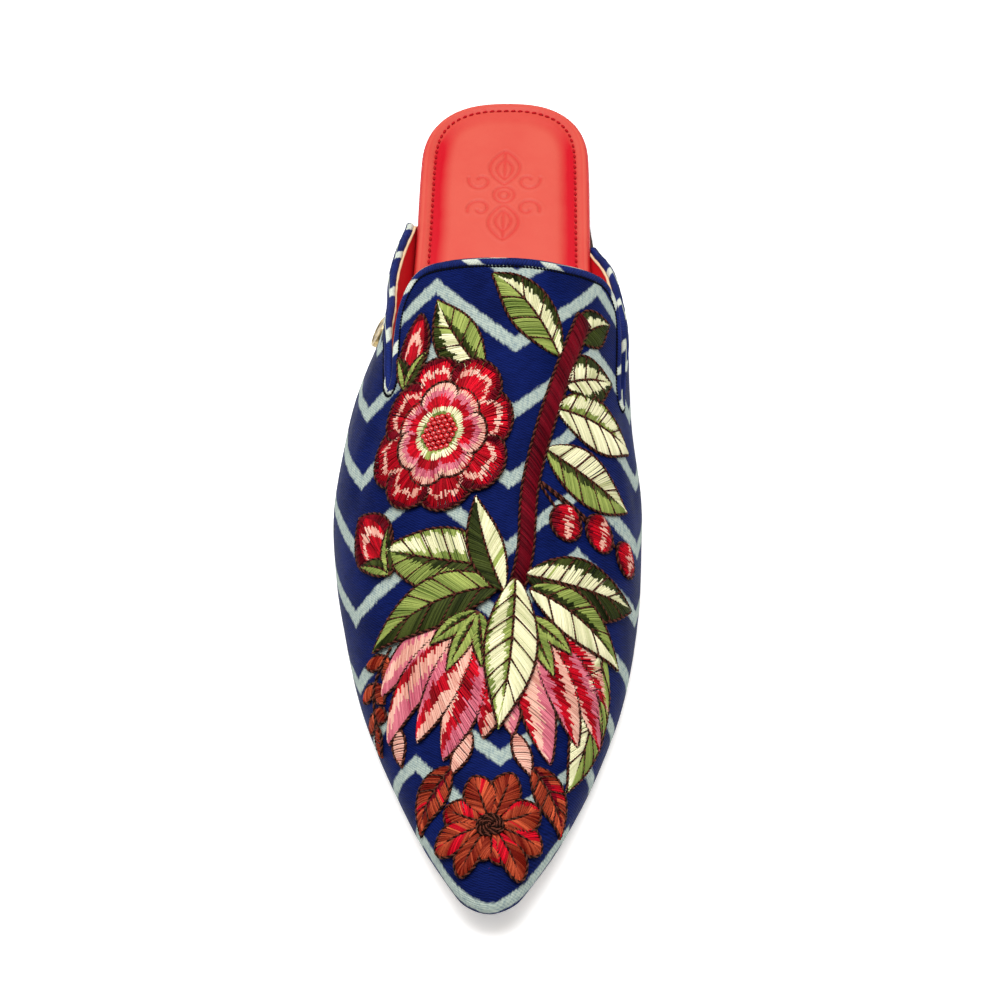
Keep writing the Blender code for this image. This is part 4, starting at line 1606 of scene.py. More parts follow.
# ---- insole -----------------------------------------------------------------
@dataclass
class InsoleWork:
    """Red leather insole: rolled rim, stitched channel and a pressed ornament."""

    count: int = 130
    rim_roll: float = 2.0
    # painted shade on the rim's outer side
    rim_shade: float = 0.75                 # how dark the rim's side is
    stitch_inset: float = 4.1
    heel_shift: float = 0.6                 # how much nearer the rim they run at the heel
    channel_depth: float = 0.55
    groove_inset: float = 6.8
    groove_depth: float = 0.68
    fine: float = 0.8
    finest: float = 0.42
    coarse: float = 3.2
    fine_until: float = 112.0
    mark_station: float = 37.0
    mark_half: tuple[float, float] = (12.5, 20.0)
    mark_depth: float = 0.36

    def __post_init__(self) -> None:
        """Find the middle of the ornament."""
        self.heart = np.array([float(LAST.outline.at("middle", self.mark_station)),
                               self.mark_station])

    def draw_in(self, station: Value) -> Array:
        """How much of each inset is kept: less as the toe narrows."""
        return 1.0 - 0.72 * ramp(station, LAST.length - 60.0, LAST.length - 20.0)

    def at_heel(self, station: Value) -> Array:
        """1 at the back of the heel, 0 once past it."""
        return 1.0 - ramp(station, 4.0, 22.0)

    def ring(self, inset: float, count: int, heel_shift: float = 0.0) -> Array:
        """Closed line set in from the rim.

        Args:
            inset: How far in it lies.
            count: Steps on each side.
            heel_shift: How much nearer the rim it runs round the heel.

        Returns:
            (x, station) points.
        """
        return LAST.ring(lambda s: (-inset * self.draw_in(s) + heel_shift * self.at_heel(s)
                                    - 2.2 * ramp(s, LAST.length - 30.0, LAST.length)), count)

    def raised(self, flat: Array, share: float = 1.0, drop: Value = 0.0) -> Array:
        """Last points over the outsole.

        Args:
            flat: (x, station) points.
            share: Share of the insole's thickness that they lie at.
            drop: How far below that they lie.

        Returns:
            (x, station, z) points.
        """
        return np.column_stack([flat, LAST.seat(flat[:, 1]) + LAST.fit_gap
                                + LAST.sole.at("insole", flat[:, 1]) * share - drop])

    @staticmethod
    def ornament() -> list[Array]:
        """Plain ornament: two leaves end to end between curled tendrils, round two circles.

        Returns:
            Its lines, in mm from its middle.
        """
        t = np.linspace(0.0, 1.0, 40)
        lines = [circle(40) * 1.5, circle(40) * 3.0]
        angle = 0.9 * np.pi + 1.9 * np.pi * t
        reach = 1.0 + 2.7 * (1.0 - t)
        leaf = np.stack([4.4 * np.sin(np.pi * t) ** 0.8, 4.0 + 13.0 * t], 1)
        inner = np.stack([2.3 * np.sin(np.pi * t), 6.0 + 8.0 * t], 1)
        curl = np.stack([7.0 - reach * np.cos(angle), 5.4 + reach * np.sin(angle)], 1)
        rib = np.stack([0.0 * t, 6.0 + 10.5 * t], 1)
        for end in (-1.0, 1.0):
            for side in (-1.0, 1.0):
                lines += [line * (side, end) for line in (leaf, inner, curl)]
            lines.append(rib * (1.0, end))
        return lines

    def mark(self, points: Array) -> Array:
        """The pressed ornament's relief.

        Args:
            points: (x, station) points.

        Returns:
            Depth at each point, 1 in the ornament's lines and a little under 0 beside them.
        """
        spots = points - self.heart
        close = np.flatnonzero((np.abs(spots) < self.mark_half).all(1))
        away = np.full(len(close), np.inf)
        for line in self.ornament():
            for a, b in zip(line, line[1:]):
                away = np.minimum(away, from_stretch(spots[close], a, b)[0])
        depth = np.zeros(len(points))
        depth[close] = bell(away, 0.42) - 0.35 * bell(away - 1.0, 0.45)
        return depth

    def drop(self, points: Array, away: Array) -> tuple[Array, Array]:
        """How far the face lies below the rim, and how much shade is painted on it.

        Args:
            points: (x, station) points.
            away: Their distances from the insole's edge.

        Returns:
            Drops in mm, and painted shade from 0 to 1.
        """
        keep = self.draw_in(points[:, 1])
        d = away / np.maximum(keep, 0.2)
        back = self.at_heel(points[:, 1])
        inset = self.stitch_inset - self.heel_shift * back
        channel = self.channel_depth * bell(d - inset, 0.75)
        groove = self.groove_depth * bell(d - self.groove_inset, 2.2) * (1.0 - 0.75 * back)
        slope = 0.22 * ramp(d, 1.8, 3.4)
        mark = self.mark(points)
        # painted shade: darker in the stitch channel, on the rim's outer roll and in the groove inside the
        # stitches (less round the heel); the ornament's lines are darker too
        shade = (0.55 * bell(d - inset, 0.55) + 0.30 * (1.0 - ramp(d, 1.6, 3.2))
                 + 1.0 * (1.0 - 0.75 * back) * ramp(d, 4.0, 4.9) * (1.0 - ramp(d, 5.4, 10.0))
                 + 0.36 * np.maximum(mark, 0.0))
        return (channel + groove + slope + self.mark_depth * mark) * keep, np.clip(shade, 0.0, 1.0)

    def grid(self, rim: Array) -> Array:
        """Points on the flat of the insole, close together where it shows.

        Args:
            rim: Outline to keep inside.

        Returns:
            (x, station) points.
        """
        low, high = rim.min(0), rim.max(0)
        half = np.array(self.mark_half)
        points = []
        for pitch, corner, far in (
                (self.fine, low, (high[0], self.fine_until)),
                (self.coarse, (low[0], self.fine_until), high),
                (self.finest, self.heart - half, self.heart + half)):
            xs, ys = np.arange(corner[0], far[0], pitch), np.arange(corner[1], far[1], pitch)
            grid = np.stack(np.meshgrid(xs, ys), -1)
            grid[1::2, :, 0] += 0.5 * pitch
            grid = grid.reshape(-1, 2)
            if pitch != self.finest:
                away = np.abs(grid - self.heart) - half
                grid = grid[(away > 0.3 * pitch).any(1)]
            points.append(grid[within(rim, grid, 0.5 * pitch)])
        return np.vstack(points)

    def build_leather(self) -> None:
        """The insole's closed mesh, rings round the edge and a fine grid on top."""
        levels = [(0.9, 0.0), (0.25, 0.14), (0.0, 0.36), (0.0, 0.66), (0.14, 0.78),
                  (0.45, 0.88), (0.85, 0.945), (1.2, 0.975), (1.6, 0.995), (self.rim_roll, 1.0)]
        bm, rings = loft([self.raised(self.ring(inset, self.count), share)
                          for inset, share in levels])
        # painted shade on the rings round the edge, darkest on the rim's outer side
        ring_painted_shade = [self.rim_shade * (1.0 - ramp([share] * len(rings[0]), 0.86, 0.995)) for _, share in levels]
        rim = self.ring(self.rim_roll, self.count)
        flat, faces = fill_flat(rim, self.grid(rim))
        away = np.full(len(flat), np.inf)
        for corner in self.ring(0.0, 400):
            away = np.minimum(away, np.hypot(*(flat - corner).T))
        drop, dark = self.drop(flat, away)
        drop[:len(rim)] = 0.0
        places = LAST.place(self.raised(flat, drop=drop))
        verts = rings[-1] + [bm.verts.new(p) for p in places[len(rim):]]
        for face in faces:
            bm.faces.new([verts[i] for i in face])
        cap_across(bm, rings[0])
        bmesh.ops.recalc_face_normals(bm, faces=bm.faces)
        # its dark colour also paints the shade in the channel, the groove and on the rim
        obj = finish_mesh("insole_leather", bm, GrainedLeather(
            "coral_insole_leather", roughness=0.48, specular=0.14, light=(0.535, 0.082, 0.056),
            dark=(0.455, 0.001, 0.009), grain=2200.0, depth=0.000012, shade="painted_shade_and_mark"),
            crease_deg=70.0)
        # painted shade of the edge rings, then of the top's points
        write_value(obj.data, "painted_shade_and_mark", np.concatenate(ring_painted_shade[:-1] + [dark]))
        hand_in(obj, "insole", "insole")

    def build_stitches(self) -> None:
        """Dark red stitches sunk in the channel."""
        ring = self.ring(self.stitch_inset, 200, self.heel_shift)
        ring = np.vstack([ring, ring[:1]])
        sunk = (self.channel_depth + 0.2) * self.draw_in(ring[:, 1]) - 0.2
        grow(path_mesh("insole_stitches", [self.raised(ring, drop=sunk)]), stitch_tree(),
             Floss("dark_red_thread", roughness=0.6, specular=0.1,
                   light=(0.66, 0.014, 0.024), dark=(0.38, 0.003, 0.008)),
             Pitch=2.1 * MM, Length=1.5 * MM, Thread=0.38 * MM, Slant=0.12)

    def build(self) -> None:
        """Build the leather and its stitches."""
        self.build_leather()
        self.build_stitches()


# ---- sole and heel ----------------------------------------------------------
@dataclass
class SoleWork:
    """Rubber outsole with a channelled tread, on a low stacked heel."""

    count: int = 110
    shoulder: float = 0.8                   # how far in the tread's flat part begins
    heel_breast: float = 60.0
    heel_taper: float = 0.9
    breast_hollow: float = 2.5
    lift_height: float = 3.15

    def level(self, flat: Array, rise: float) -> Array:
        """Last points at a height over the sole line."""
        return np.column_stack([flat, LAST.sole.at("underside", flat[:, 1]) + rise])

    def sole_ring(self, inset: float) -> Array:
        """Outline of the outsole.

        Args:
            inset: How far it is set in; less at the tip.

        Returns:
            (x, station) points.
        """
        return LAST.ring(lambda s: (
            -0.4 + 2.0 * ramp(s, 38.0, 62.0) - 1.5 * ramp(s, 236.0, 262.0)
            - inset * (1.0 - 0.7 * ramp(s, 235.0, 265.0))), self.count)

    def heel_ring(self, inset: float) -> Array:
        """Outline of the heel block, with its hollowed breast.

        Args:
            inset: How far it is set in from the insole's edge.

        Returns:
            (x, station) points.
        """
        inner, outer = (LAST.edge(side, lambda s: -inset, 60, 0.0, self.heel_breast)
                        for side in (1, -1))
        t = np.arange(1, 20)[:, None] / 20
        breast = inner[-1] + (outer[-1] - inner[-1]) * t
        breast[:, 1] = self.heel_breast - self.breast_hollow * (4.0 * t * (1.0 - t))[:, 0]
        return np.vstack([inner, breast, outer[:0:-1]])

    def build_outsole(self) -> None:
        """The outsole's closed slab, with a groove along its edge and one beneath."""
        thick = LAST.outsole_thick
        profile = [(4.6, 0.0), (4.1, 0.18), (3.6, 0.0), (self.shoulder, 0.0), (0.45, 0.1),
                   (0.2, 0.28), (0.05, 0.52), (0.0, 0.8), (0.0, 1.9), (0.16, 2.05), (0.16, 2.2),
                   (0.0, 2.35), (0.0, thick - 0.4), (0.12, thick - 0.12), (0.4, thick)]
        bm, rings = loft([self.level(self.sole_ring(inset), rise) for inset, rise in profile])
        cap_across(bm, rings[0])
        cap_across(bm, rings[-1])
        bmesh.ops.recalc_face_normals(bm, faces=bm.faces)
        sole = SatinRubber("dark_sole_rubber", roughness=0.5, specular=0.4)
        hand_in(finish_mesh("outsole_rubber", bm, sole, crease_deg=40.0), "outsole", "outsole")

    def build_heel(self) -> None:
        """The heel: a top piece under pressed leather lifts, all in stacked leather."""
        lift = self.lift_height
        profile = [(1.5, 0.0), (1.05, 0.2), (0.85, 0.6), (0.8, 1.2), (0.78, 2.9), (0.95, lift),
                   (0.95, lift + 0.2), (0.72, lift + 0.4), (0.63, lift + 1.7),
                   (0.56, lift + 2.7), (0.49, lift + 3.7)]
        rings = []
        for inset, height in profile:
            ring = self.heel_ring(self.heel_taper + inset)
            rings.append(np.column_stack([ring, np.full(len(ring), height)]))
        bm, made = loft(rings + [self.level(self.heel_ring(self.heel_taper), -0.02)])
        close_ends(bm, (made[0], made[-1]))
        stack = StackedLeather("stacked_heel_leather", roughness=0.5, specular=0.4)
        hand_in(finish_mesh("heel_block", bm, stack, crease_deg=40.0), "heel", "heel")

    def build(self) -> None:
        """Build outsole and heel."""
        self.build_outsole()
        self.build_heel()


# ---- stud -------------------------------------------------------------------
@dataclass
class StudWork:
    """Small gilt stud on the outer wing: a ribbed rim round a plain domed middle."""

    station: float = 100.3
    girth: float = 58.3
    radius: float = 4.45
    thick: float = 1.0
    lift: float = 0.15
    tip_up: float = 0.20
    sides: int = 72
    ribs: int = 36

    def build(self) -> None:
        """Turn the stud's profile, with small ribs round its rim."""
        centre = SKIN.at(self.station, -self.girth)
        axis = unit(SKIN.normal(self.station, -self.girth) + (0.0, 0.0, self.tip_up))
        turn = np.array(Vector(axis).orthogonal().normalized())
        thick, radius = self.lift + self.thick, self.radius
        profile = [(radius - 0.3, self.lift - 2.0, 0.0), (radius, self.lift - 1.7, 0.04),
                   (radius, thick - 0.35, 0.04), (radius - 0.12, thick - 0.1, 0.04),
                   (radius - 0.4, thick, 0.06), (radius - 0.75, thick - 0.05, 0.02),
                   (radius - 1.0, thick - 0.3, 0.0), (radius - 1.3, thick - 0.34, 0.0),
                   (radius - 1.5, thick - 0.22, 0.0), (radius - 1.8, thick - 0.24, 0.0),
                   (radius - 2.4, thick - 0.12, 0.0), (radius - 3.4, thick - 0.02, 0.0),
                   (0.5, thick + 0.02, 0.0)]
        ribs = np.cos(self.ribs * 2.0 * np.pi * np.arange(self.sides) / self.sides)
        bm, made = loft([round_ring(centre + axis * up, turn, np.cross(axis, turn),
                                    out + rib * ribs, self.sides) for out, up, rib in profile])
        close_ends(bm, (made[0], made[-1]))
        brass = WornBrass("worn_gilt", roughness=0.35, metallic=1.0)
        hand_in(finish_mesh("stud_disc", bm, brass, crease_deg=35.0), "stud", "side_stud")


# ---- embroidery -------------------------------------------------------------
class Dye(Enum):
    """Colours of floss in the embroidery."""

    PINE = "pine_green"
    LEAF = "leaf_green"
    CREAM = "cream"
    MAROON = "maroon"
    RED = "scarlet"
    PINK = "rose_pink"
    SALMON = "pale_salmon"
    RUST = "rust"


Zones = tuple[tuple[Dye, float], ...]

# light and dark tone of each dye, and how much of it lies in the dark
FLOSS = {
    Dye.PINE: ((0.058, 0.074, 0.015), (0.003, 0.006, 0.001), 1.4),
    Dye.LEAF: ((0.340, 0.400, 0.100), (0.062, 0.105, 0.014), 1.0),
    Dye.CREAM: ((0.870, 0.820, 0.550), (0.400, 0.410, 0.190), 0.9),
    Dye.MAROON: ((0.185, 0.003, 0.011), (0.028, 0.000, 0.002), 1.2),
    Dye.RED: ((0.660, 0.005, 0.019), (0.140, 0.001, 0.003), 1.8),
    Dye.PINK: ((0.690, 0.205, 0.255), (0.310, 0.024, 0.062), 1.0),
    Dye.SALMON: ((0.810, 0.500, 0.395), (0.460, 0.150, 0.110), 0.9),
    Dye.RUST: ((0.600, 0.100, 0.038), (0.105, 0.002, 0.001), 2.0)}
# a dye that takes the place of another here and there, and how often
ODD_STRANDS = {Dye.RUST: (Dye.RED, 0.16), Dye.CREAM: (Dye.LEAF, 0.05)}


def plain(dye: Dye) -> Zones:
    """One colour all the way."""
    return ((dye, 1.0),)


GREEN, DARK, CREAM, RUST = (plain(dye) for dye in (Dye.LEAF, Dye.PINE, Dye.CREAM, Dye.RUST))
RIMMED: Zones = ((Dye.CREAM, 0.58), (Dye.PINE, 1.0))
LIT: Zones = ((Dye.LEAF, 0.28), (Dye.CREAM, 0.82), (Dye.LEAF, 1.0))
SHADED: Zones = ((Dye.PINE, 0.35), (Dye.LEAF, 1.0))


class Line:
    """A flat path of (column, girth) points, read by its share of length."""

    def __init__(self, points: Array) -> None:
        """Keep the points and the distance to each.

        Args:
            points: (column, girth) points.
        """
        self.points = np.asarray(points, float)
        self.run = distance_along(self.points)
        self.length = float(self.run[-1])

    def at(self, share: Value) -> Array:
        """Points at shares of the length from 0 to 1."""
        run = np.clip(share, 0.0, 1.0) * self.length
        return np.stack([np.interp(run, self.run, self.points[:, k]) for k in (0, 1)], -1)


def heading(angle_deg: float) -> Array:
    """Flat direction: 0 towards the toe, 90 towards the inner side."""
    angle = math.radians(angle_deg)
    return np.array([math.cos(angle), math.sin(angle)])


def angle_of(way: Array) -> float:
    """Angle of a flat direction, in degrees."""
    return math.degrees(math.atan2(way[1], way[0]))


def alternate(count: int) -> list[int]:
    """Every second number from 0, then the ones between."""
    return [*range(0, count, 2), *range(1, count, 2)]


@dataclass(frozen=True)
class Blade:
    """A leaf or petal laid flat: a bowed spine with a width on each side of it."""

    base: Spot
    tip: Spot
    inner: float
    outer: float
    bow: float = 0.0
    belly: float = 0.45
    base_round: float = 0.85
    tip_round: float = 1.0

    @classmethod
    def ray(cls, centre: Array, angle_deg: float, near: float, far: float, half: float,
            **shape: float) -> "Blade":
        """Blade that points away from a centre, as wide on both sides.

        Args:
            centre: The centre.
            angle_deg: Its heading.
            near: Distance of its base from the centre.
            far: Distance of its tip.
            half: Its width on each side.
            **shape: Its other sizes.

        Returns:
            The blade.
        """
        way = heading(angle_deg)
        return cls(tuple(centre + way * near), tuple(centre + way * far), half, half, **shape)

    def points(self, t: Array, sign: float) -> Array:
        """Points on the spine or beside it.

        Args:
            t: Shares of the way from base to tip.
            sign: Share of the width to the side, less than 0 for the outer side.

        Returns:
            (column, girth) points.
        """
        a, b = np.array(self.base, float), np.array(self.tip, float)
        run = b - a
        knee = a + 0.5 * run + np.array([-run[1], run[0]]) * self.bow
        along = np.asarray(t, float)[:, None]
        spine = a * (1 - along) ** 2 + knee * 2 * along * (1 - along) + b * along * along
        ahead = unit(2 * (1 - along) * (knee - a) + 2 * along * (b - knee))
        full = np.sin(np.pi * t ** (math.log(0.5) / math.log(self.belly)))
        blunt = self.base_round * (1 - t) + self.tip_round * t
        wide = np.maximum(full, 0.0) ** blunt * (self.inner if sign > 0 else self.outer)
        return spine + np.stack([-ahead[:, 1], ahead[:, 0]], 1) * (wide * sign)[:, None]

    def spine(self) -> Line:
        """The spine."""
        return Line(self.points(np.linspace(0.0, 1.0, 26), 0.0))

    def side(self, sign: int, low: float = 0.0) -> Line:
        """The outline on one side, 1 or -1, from a share of the way to the tip."""
        return Line(self.points(np.linspace(low, 1.0, 40), sign))

    def hull(self, low: float = 0.0) -> Array:
        """The outline from a share of the way, by the tip and back."""
        return np.vstack([self.side(1, low).points, self.side(-1, low).points[-2::-1]])

    def foot(self, keep: float = 1.0) -> Line:
        """Short line across the blade by its base, over a share of its width."""
        near = np.array([0.12])
        return Line(np.vstack([self.points(near, keep), self.points(near, -keep)]))


@dataclass(frozen=True)
class Strand:
    """One strand of floss: its flat points, its heights over the cloth, its tone and radius."""

    flat: Array
    height: Array
    shade: float
    girth: float


Run = tuple[Array, float]


@dataclass
class Embroidery:
    """Raised floral needlework: padded satin fills, cord outlines and glass beads."""

    seed: int = 11
    pitch: float = 0.56
    girth: float = 0.30
    pad: float = 0.60
    ground: float = 0.07                    # a strand's middle over the cloth at its ends
    cord_rise: float = 0.36
    vein_rise: float = 0.16
    overlap: float = 0.04                   # share of the way that two colours share
    shortest: float = 0.35                  # strands shorter than this are left out
    bend_step: float = 0.95                 # about how far apart a strand's points lie
    full_span: float = 3.0                  # length from which a strand stands at full height
    bead_step: float = 1.52
    strands: dict[Dye, list[Strand]] = field(default_factory=lambda: {dye: [] for dye in Dye})
    cords: list[Run] = field(default_factory=list)
    veins: list[Run] = field(default_factory=list)
    beads: list[Run] = field(default_factory=list)

    def __post_init__(self) -> None:
        """Seed the small differences between stitches."""
        self.random = np.random.default_rng(self.seed)

    # one stitch and one filled shape
    def fill(self, start: Line, end: Line, zones: Zones, slant: float = 0.0,
             pad: Optional[float] = None, lift: float = 0.0, ragged: float = 0.065,
             stagger: float = 0.0) -> None:
        """Lay strands side by side from one line to the other.

        Args:
            start: Line that the strands leave.
            end: Line that they reach.
            zones: Colours in order, each with the share of the way that it ends at.
            slant: How far ahead of its start each strand lands, as a share of the line.
            pad: Height of the padding underneath, if not the usual one.
            lift: Height of the whole shape above the cloth.
            ragged: Unevenness of the colour changes.
            stagger: Share of the way where every second strand begins.
        """
        rng = self.random
        pad = self.pad if pad is None else pad
        length = max(0.5 * (start.length + end.length), 0.8 * end.length)
        count = max(4, round(length * (1.0 + abs(slant)) / self.pitch))
        first, last = min(0.0, -slant), max(1.0, 1.0 - slant)
        t = first + (last - first) * (np.arange(count) + 0.5 + rng.uniform(-0.2, 0.2, count)) / count
        knots = np.arange(0, count + 6, 5)
        drift = np.interp(np.arange(count), knots, rng.uniform(-1.0, 1.0, len(knots)))
        for i, (leave, land) in enumerate(zip(start.at(t), end.at(t + slant))):
            span = float(np.linalg.norm(land - leave))
            if span < self.shortest:
                continue
            done = stagger * rng.uniform(0.85, 1.15) if stagger and i % 2 else 0.0
            bow = rng.uniform(-0.012, 0.012) * span
            square = unit(np.array([leave[1] - land[1], land[0] - leave[0]]))
            rise = pad * min(1.0, span / self.full_span) * rng.uniform(0.94, 1.06)
            for dye, until in zones:
                odd, share = ODD_STRANDS.get(dye, (dye, 0.0))
                dye = odd if drift[i] > 1.0 - 2.0 * share else dye
                until = 1.0 if until >= 1.0 else until + rng.normal(0.0, ragged)
                if until <= done + self.overlap:
                    continue
                low = max(0.0, done - self.overlap)
                bends = max(3, math.ceil(span * (until - low) / self.bend_step) + 1)
                f = np.linspace(low, min(until, 1.0), bends)
                flat = (leave + (land - leave) * f[:, None]
                        + square * bow * np.sin(np.pi * f)[:, None])
                height = lift + self.ground + rise * (4.0 * f * (1.0 - f)) ** 0.65
                shade = 0.55 + 0.30 * drift[i] + 0.26 * rng.uniform(-1.0, 1.0)
                self.strands[dye].append(Strand(flat, height, float(np.clip(shade, 0.0, 1.0)),
                                                self.girth * rng.uniform(0.93, 1.08)))
                done = until

    def cord(self, flat: Array, lift: float = 0.0) -> None:
        """Couch a twisted cord along a flat path."""
        self.cords.append((flat, lift + self.cord_rise))

    def vein(self, flat: Array, lift: float) -> None:
        """Lay a fine dark stitch over a filled shape."""
        self.veins.append((flat, lift + self.ground + self.pad + self.vein_rise))

    # leaves and petals
    def leaf(self, blade: Blade, inner: Zones, outer: Zones, veins: int = 0,
             lift: float = 0.0, slant: float = 0.16) -> None:
        """Two fishbone halves with a cord for the midrib.

        Args:
            blade: The leaf's shape.
            inner: Colours from the midrib to the inner edge.
            outer: Colours from the midrib to the outer edge.
            veins: Side veins on each half.
            lift: Height above the cloth.
            slant: Lean of the stitches towards the tip.
        """
        spine = blade.spine()
        for sign, zones in ((1, inner), (-1, outer)):
            side = blade.side(sign)
            self.fill(spine, side, zones, slant=slant, lift=lift)
            for k in range(veins):
                t = (k + 0.7) / (veins + 0.7) * 0.82
                root, end = spine.at(t), side.at(min(0.98, t + slant))
                self.vein(root + (end - root) * np.linspace(0.0, 0.97, 8)[:, None], lift)
        self.cord(blade.hull(), lift)
        self.cord(spine.at(np.linspace(0.0, 0.9, 24)), lift + 0.05)

    def leaves(self, *rows: tuple) -> None:
        """Lay leaves, the lowest first.

        Args:
            *rows: Base, tip, both widths, bow, both halves' colours, veins and lift of each.
        """
        for base, tip, inner, outer, bow, inner_half, outer_half, veins, lift in rows:
            self.leaf(Blade(base, tip, inner, outer, bow), inner_half, outer_half, veins, lift)

    def strap(self, blade: Blade, zones: Zones, lift: float = 0.0, slant: float = 0.14) -> None:
        """A petal stitched across, with its colours running lengthwise."""
        self.fill(blade.side(-1), blade.side(1), zones, slant=slant, lift=lift)
        self.cord(blade.hull(), lift)

    def petal(self, blade: Blade, zones: Zones, lift: float) -> None:
        """A petal stitched from its base out to its rim."""
        self.fill(blade.foot(), Line(blade.hull(0.22)), zones, lift=lift, ragged=0.045, stagger=0.34)
        self.cord(blade.hull(), lift)

    def bordered(self, blade: Blade, zones: Zones, lift: float, keep: float = 0.74) -> None:
        """A petal stitched outwards, inside a raised maroon border.

        Args:
            blade: The petal's shape.
            zones: Colours from the base to the border.
            lift: Height above the cloth.
            keep: Share of the width that the border leaves free.
        """
        t = np.linspace(0.12, 0.90, 26)
        inside = Line(np.vstack([blade.points(t, keep), blade.points(t[::-1], -keep)]))
        self.fill(blade.foot(keep), inside, zones, lift=lift, ragged=0.03, stagger=0.34)
        self.fill(inside, Line(blade.hull(0.1)), plain(Dye.MAROON), slant=0.008, lift=lift + 0.12,
                  pad=0.5)
        self.cord(blade.hull(), lift)

    def stem(self, spots: Sequence[Spot], wide: float, narrow: float, lift: float) -> None:
        """A maroon satin stem with a cord down each side.

        Args:
            spots: Spots that it passes through.
            wide: Its width where it begins.
            narrow: Its width where it ends.
            lift: Height above the cloth.
        """
        t = np.linspace(0.0, 1.0, 60)
        middle = Line(smooth_path(spots, 1.5)).at(t)
        square = leftward(middle) * (0.5 * (wide + (narrow - wide) * t))[:, None]
        self.fill(Line(middle - square), Line(middle + square), plain(Dye.MAROON), slant=0.035,
                  lift=lift, pad=0.75)
        hull = np.vstack([middle + square, (middle - square)[::-1], (middle + square)[:1]])
        self.cord(hull, lift)

    # flowers and fruit
    def rosette(self, centre: Spot, radius: float, lift: float) -> None:
        """A full round flower with a beaded heart.

        Args:
            centre: Its middle.
            radius: Its radius.
            lift: Height above the cloth.
        """
        back: Zones = ((Dye.MAROON, 0.30), (Dye.RED, 0.74), (Dye.SALMON, 0.85), (Dye.RED, 1.0))
        front: Zones = ((Dye.RED, 0.58), (Dye.PINK, 0.78), (Dye.SALMON, 1.0))
        rings = ((8, 0.28, 1.0, 0.37, back, 0.0, 8.0), (7, 0.20, 0.63, 0.26, front, 0.5, 30.0))
        for count, near, far, half, zones, step, turn in rings:
            for k in alternate(count):
                reach = far * (1.0 + 0.04 * math.sin(2.3 * k + step))
                blade = Blade.ray(centre, 360.0 * k / count + turn, near * radius, reach * radius,
                                  half * radius, bow=0.04 * (-1) ** k, belly=0.60,
                                  base_round=0.8, tip_round=0.5)
                lay = self.petal if step else self.bordered
                lay(blade, zones, lift + step + (0.18 if k % 2 else 0.0))
        self.fill(Line(centre + circle(60) * 0.23 * radius), Line(centre + circle(60) * 0.35 * radius),
                  ((Dye.LEAF, 0.25), (Dye.CREAM, 1.0)), slant=0.01, lift=lift + 1.0, pad=0.3)
        self.pack_beads(centre, 0.25 * radius, lift + 1.0)

    def pack_beads(self, centre: Spot, radius: float, height: float) -> None:
        """Fill a round with rows of beads.

        Args:
            centre: Its middle.
            radius: Its radius.
            height: Height of its rim above the cloth; its middle is a little higher.
        """
        for row in range(-8, 9):
            for cell in range(-8, 9):
                spot = np.array([row * 0.866, cell + 0.5 * (row % 2)]) * self.bead_step
                share = float(np.linalg.norm(spot)) / radius
                if share <= 1.0:
                    nudge = self.random.uniform(-0.07, 0.07, 2)
                    self.beads.append((centre + spot + nudge, height + 0.35 * (1.0 - share ** 2)))

    def lily(self, base: Spot, angle_deg: float, length: float, lift: float) -> None:
        """A flared flower of long petals on three sepals.

        Args:
            base: Spot that it grows from.
            angle_deg: Its heading.
            length: Length of its longest petal.
            lift: Height above the cloth.
        """
        pink, red, pale = Dye.PINK, Dye.RED, Dye.SALMON
        parts = (
            (-33.0, 0.84, 0.130, -0.20, ((pink, 0.34), (pale, 0.70), (pink, 1.0)), 0.0),
            (33.0, 0.84, 0.130, 0.20, ((pink, 0.36), (red, 0.66), (pale, 1.0)), 0.0),
            (-15.0, 1.00, 0.140, -0.10, ((red, 0.30), (pale, 0.62), (pink, 1.0)), 0.2),
            (16.0, 0.98, 0.140, 0.10, ((pale, 0.34), (red, 0.68), (pink, 1.0)), 0.2),
            (1.0, 0.90, 0.125, 0.03, ((pink, 0.30), (red, 0.64), (pale, 1.0)), 0.42))
        for swing, reach, half, bow, zones, rise in parts:
            blade = Blade.ray(base, angle_deg + swing, 0.0, length * reach, half * length, bow=bow,
                              belly=0.54, base_round=0.55, tip_round=0.8)
            self.strap(blade, zones, lift + rise, slant=0.22)
        for swing, reach in ((-36.0, 0.36), (36.0, 0.36), (0.0, 0.42)):
            tip = base + heading(angle_deg + swing) * length * reach
            blade = Blade(tuple(base - heading(angle_deg) * 1.5), tuple(tip), 2.6, 2.6, 0.002 * swing)
            self.leaf(blade, GREEN, SHADED, lift=lift + 0.75)

    def bud(self, base: Spot, tip: Spot, half: float) -> None:
        """A closed red bud with a maroon border, held by two sepals.

        Args:
            base: Where it grows from.
            tip: Its tip.
            half: Its width on each side.
        """
        self.bordered(Blade(base, tip, half, half, belly=0.5, tip_round=0.8),
                      ((Dye.RED, 0.62), (Dye.SALMON, 0.8), (Dye.RED, 1.0)), 0.0, keep=0.62)
        way = np.subtract(tip, base)
        for swing in (-34.0, 34.0):
            end = base + heading(angle_of(way) + swing) * 0.5 * float(np.linalg.norm(way))
            self.leaf(Blade(tuple(base - 0.1 * way), tuple(end), 2.0, 2.0, -0.004 * swing),
                      GREEN, DARK, lift=0.6)

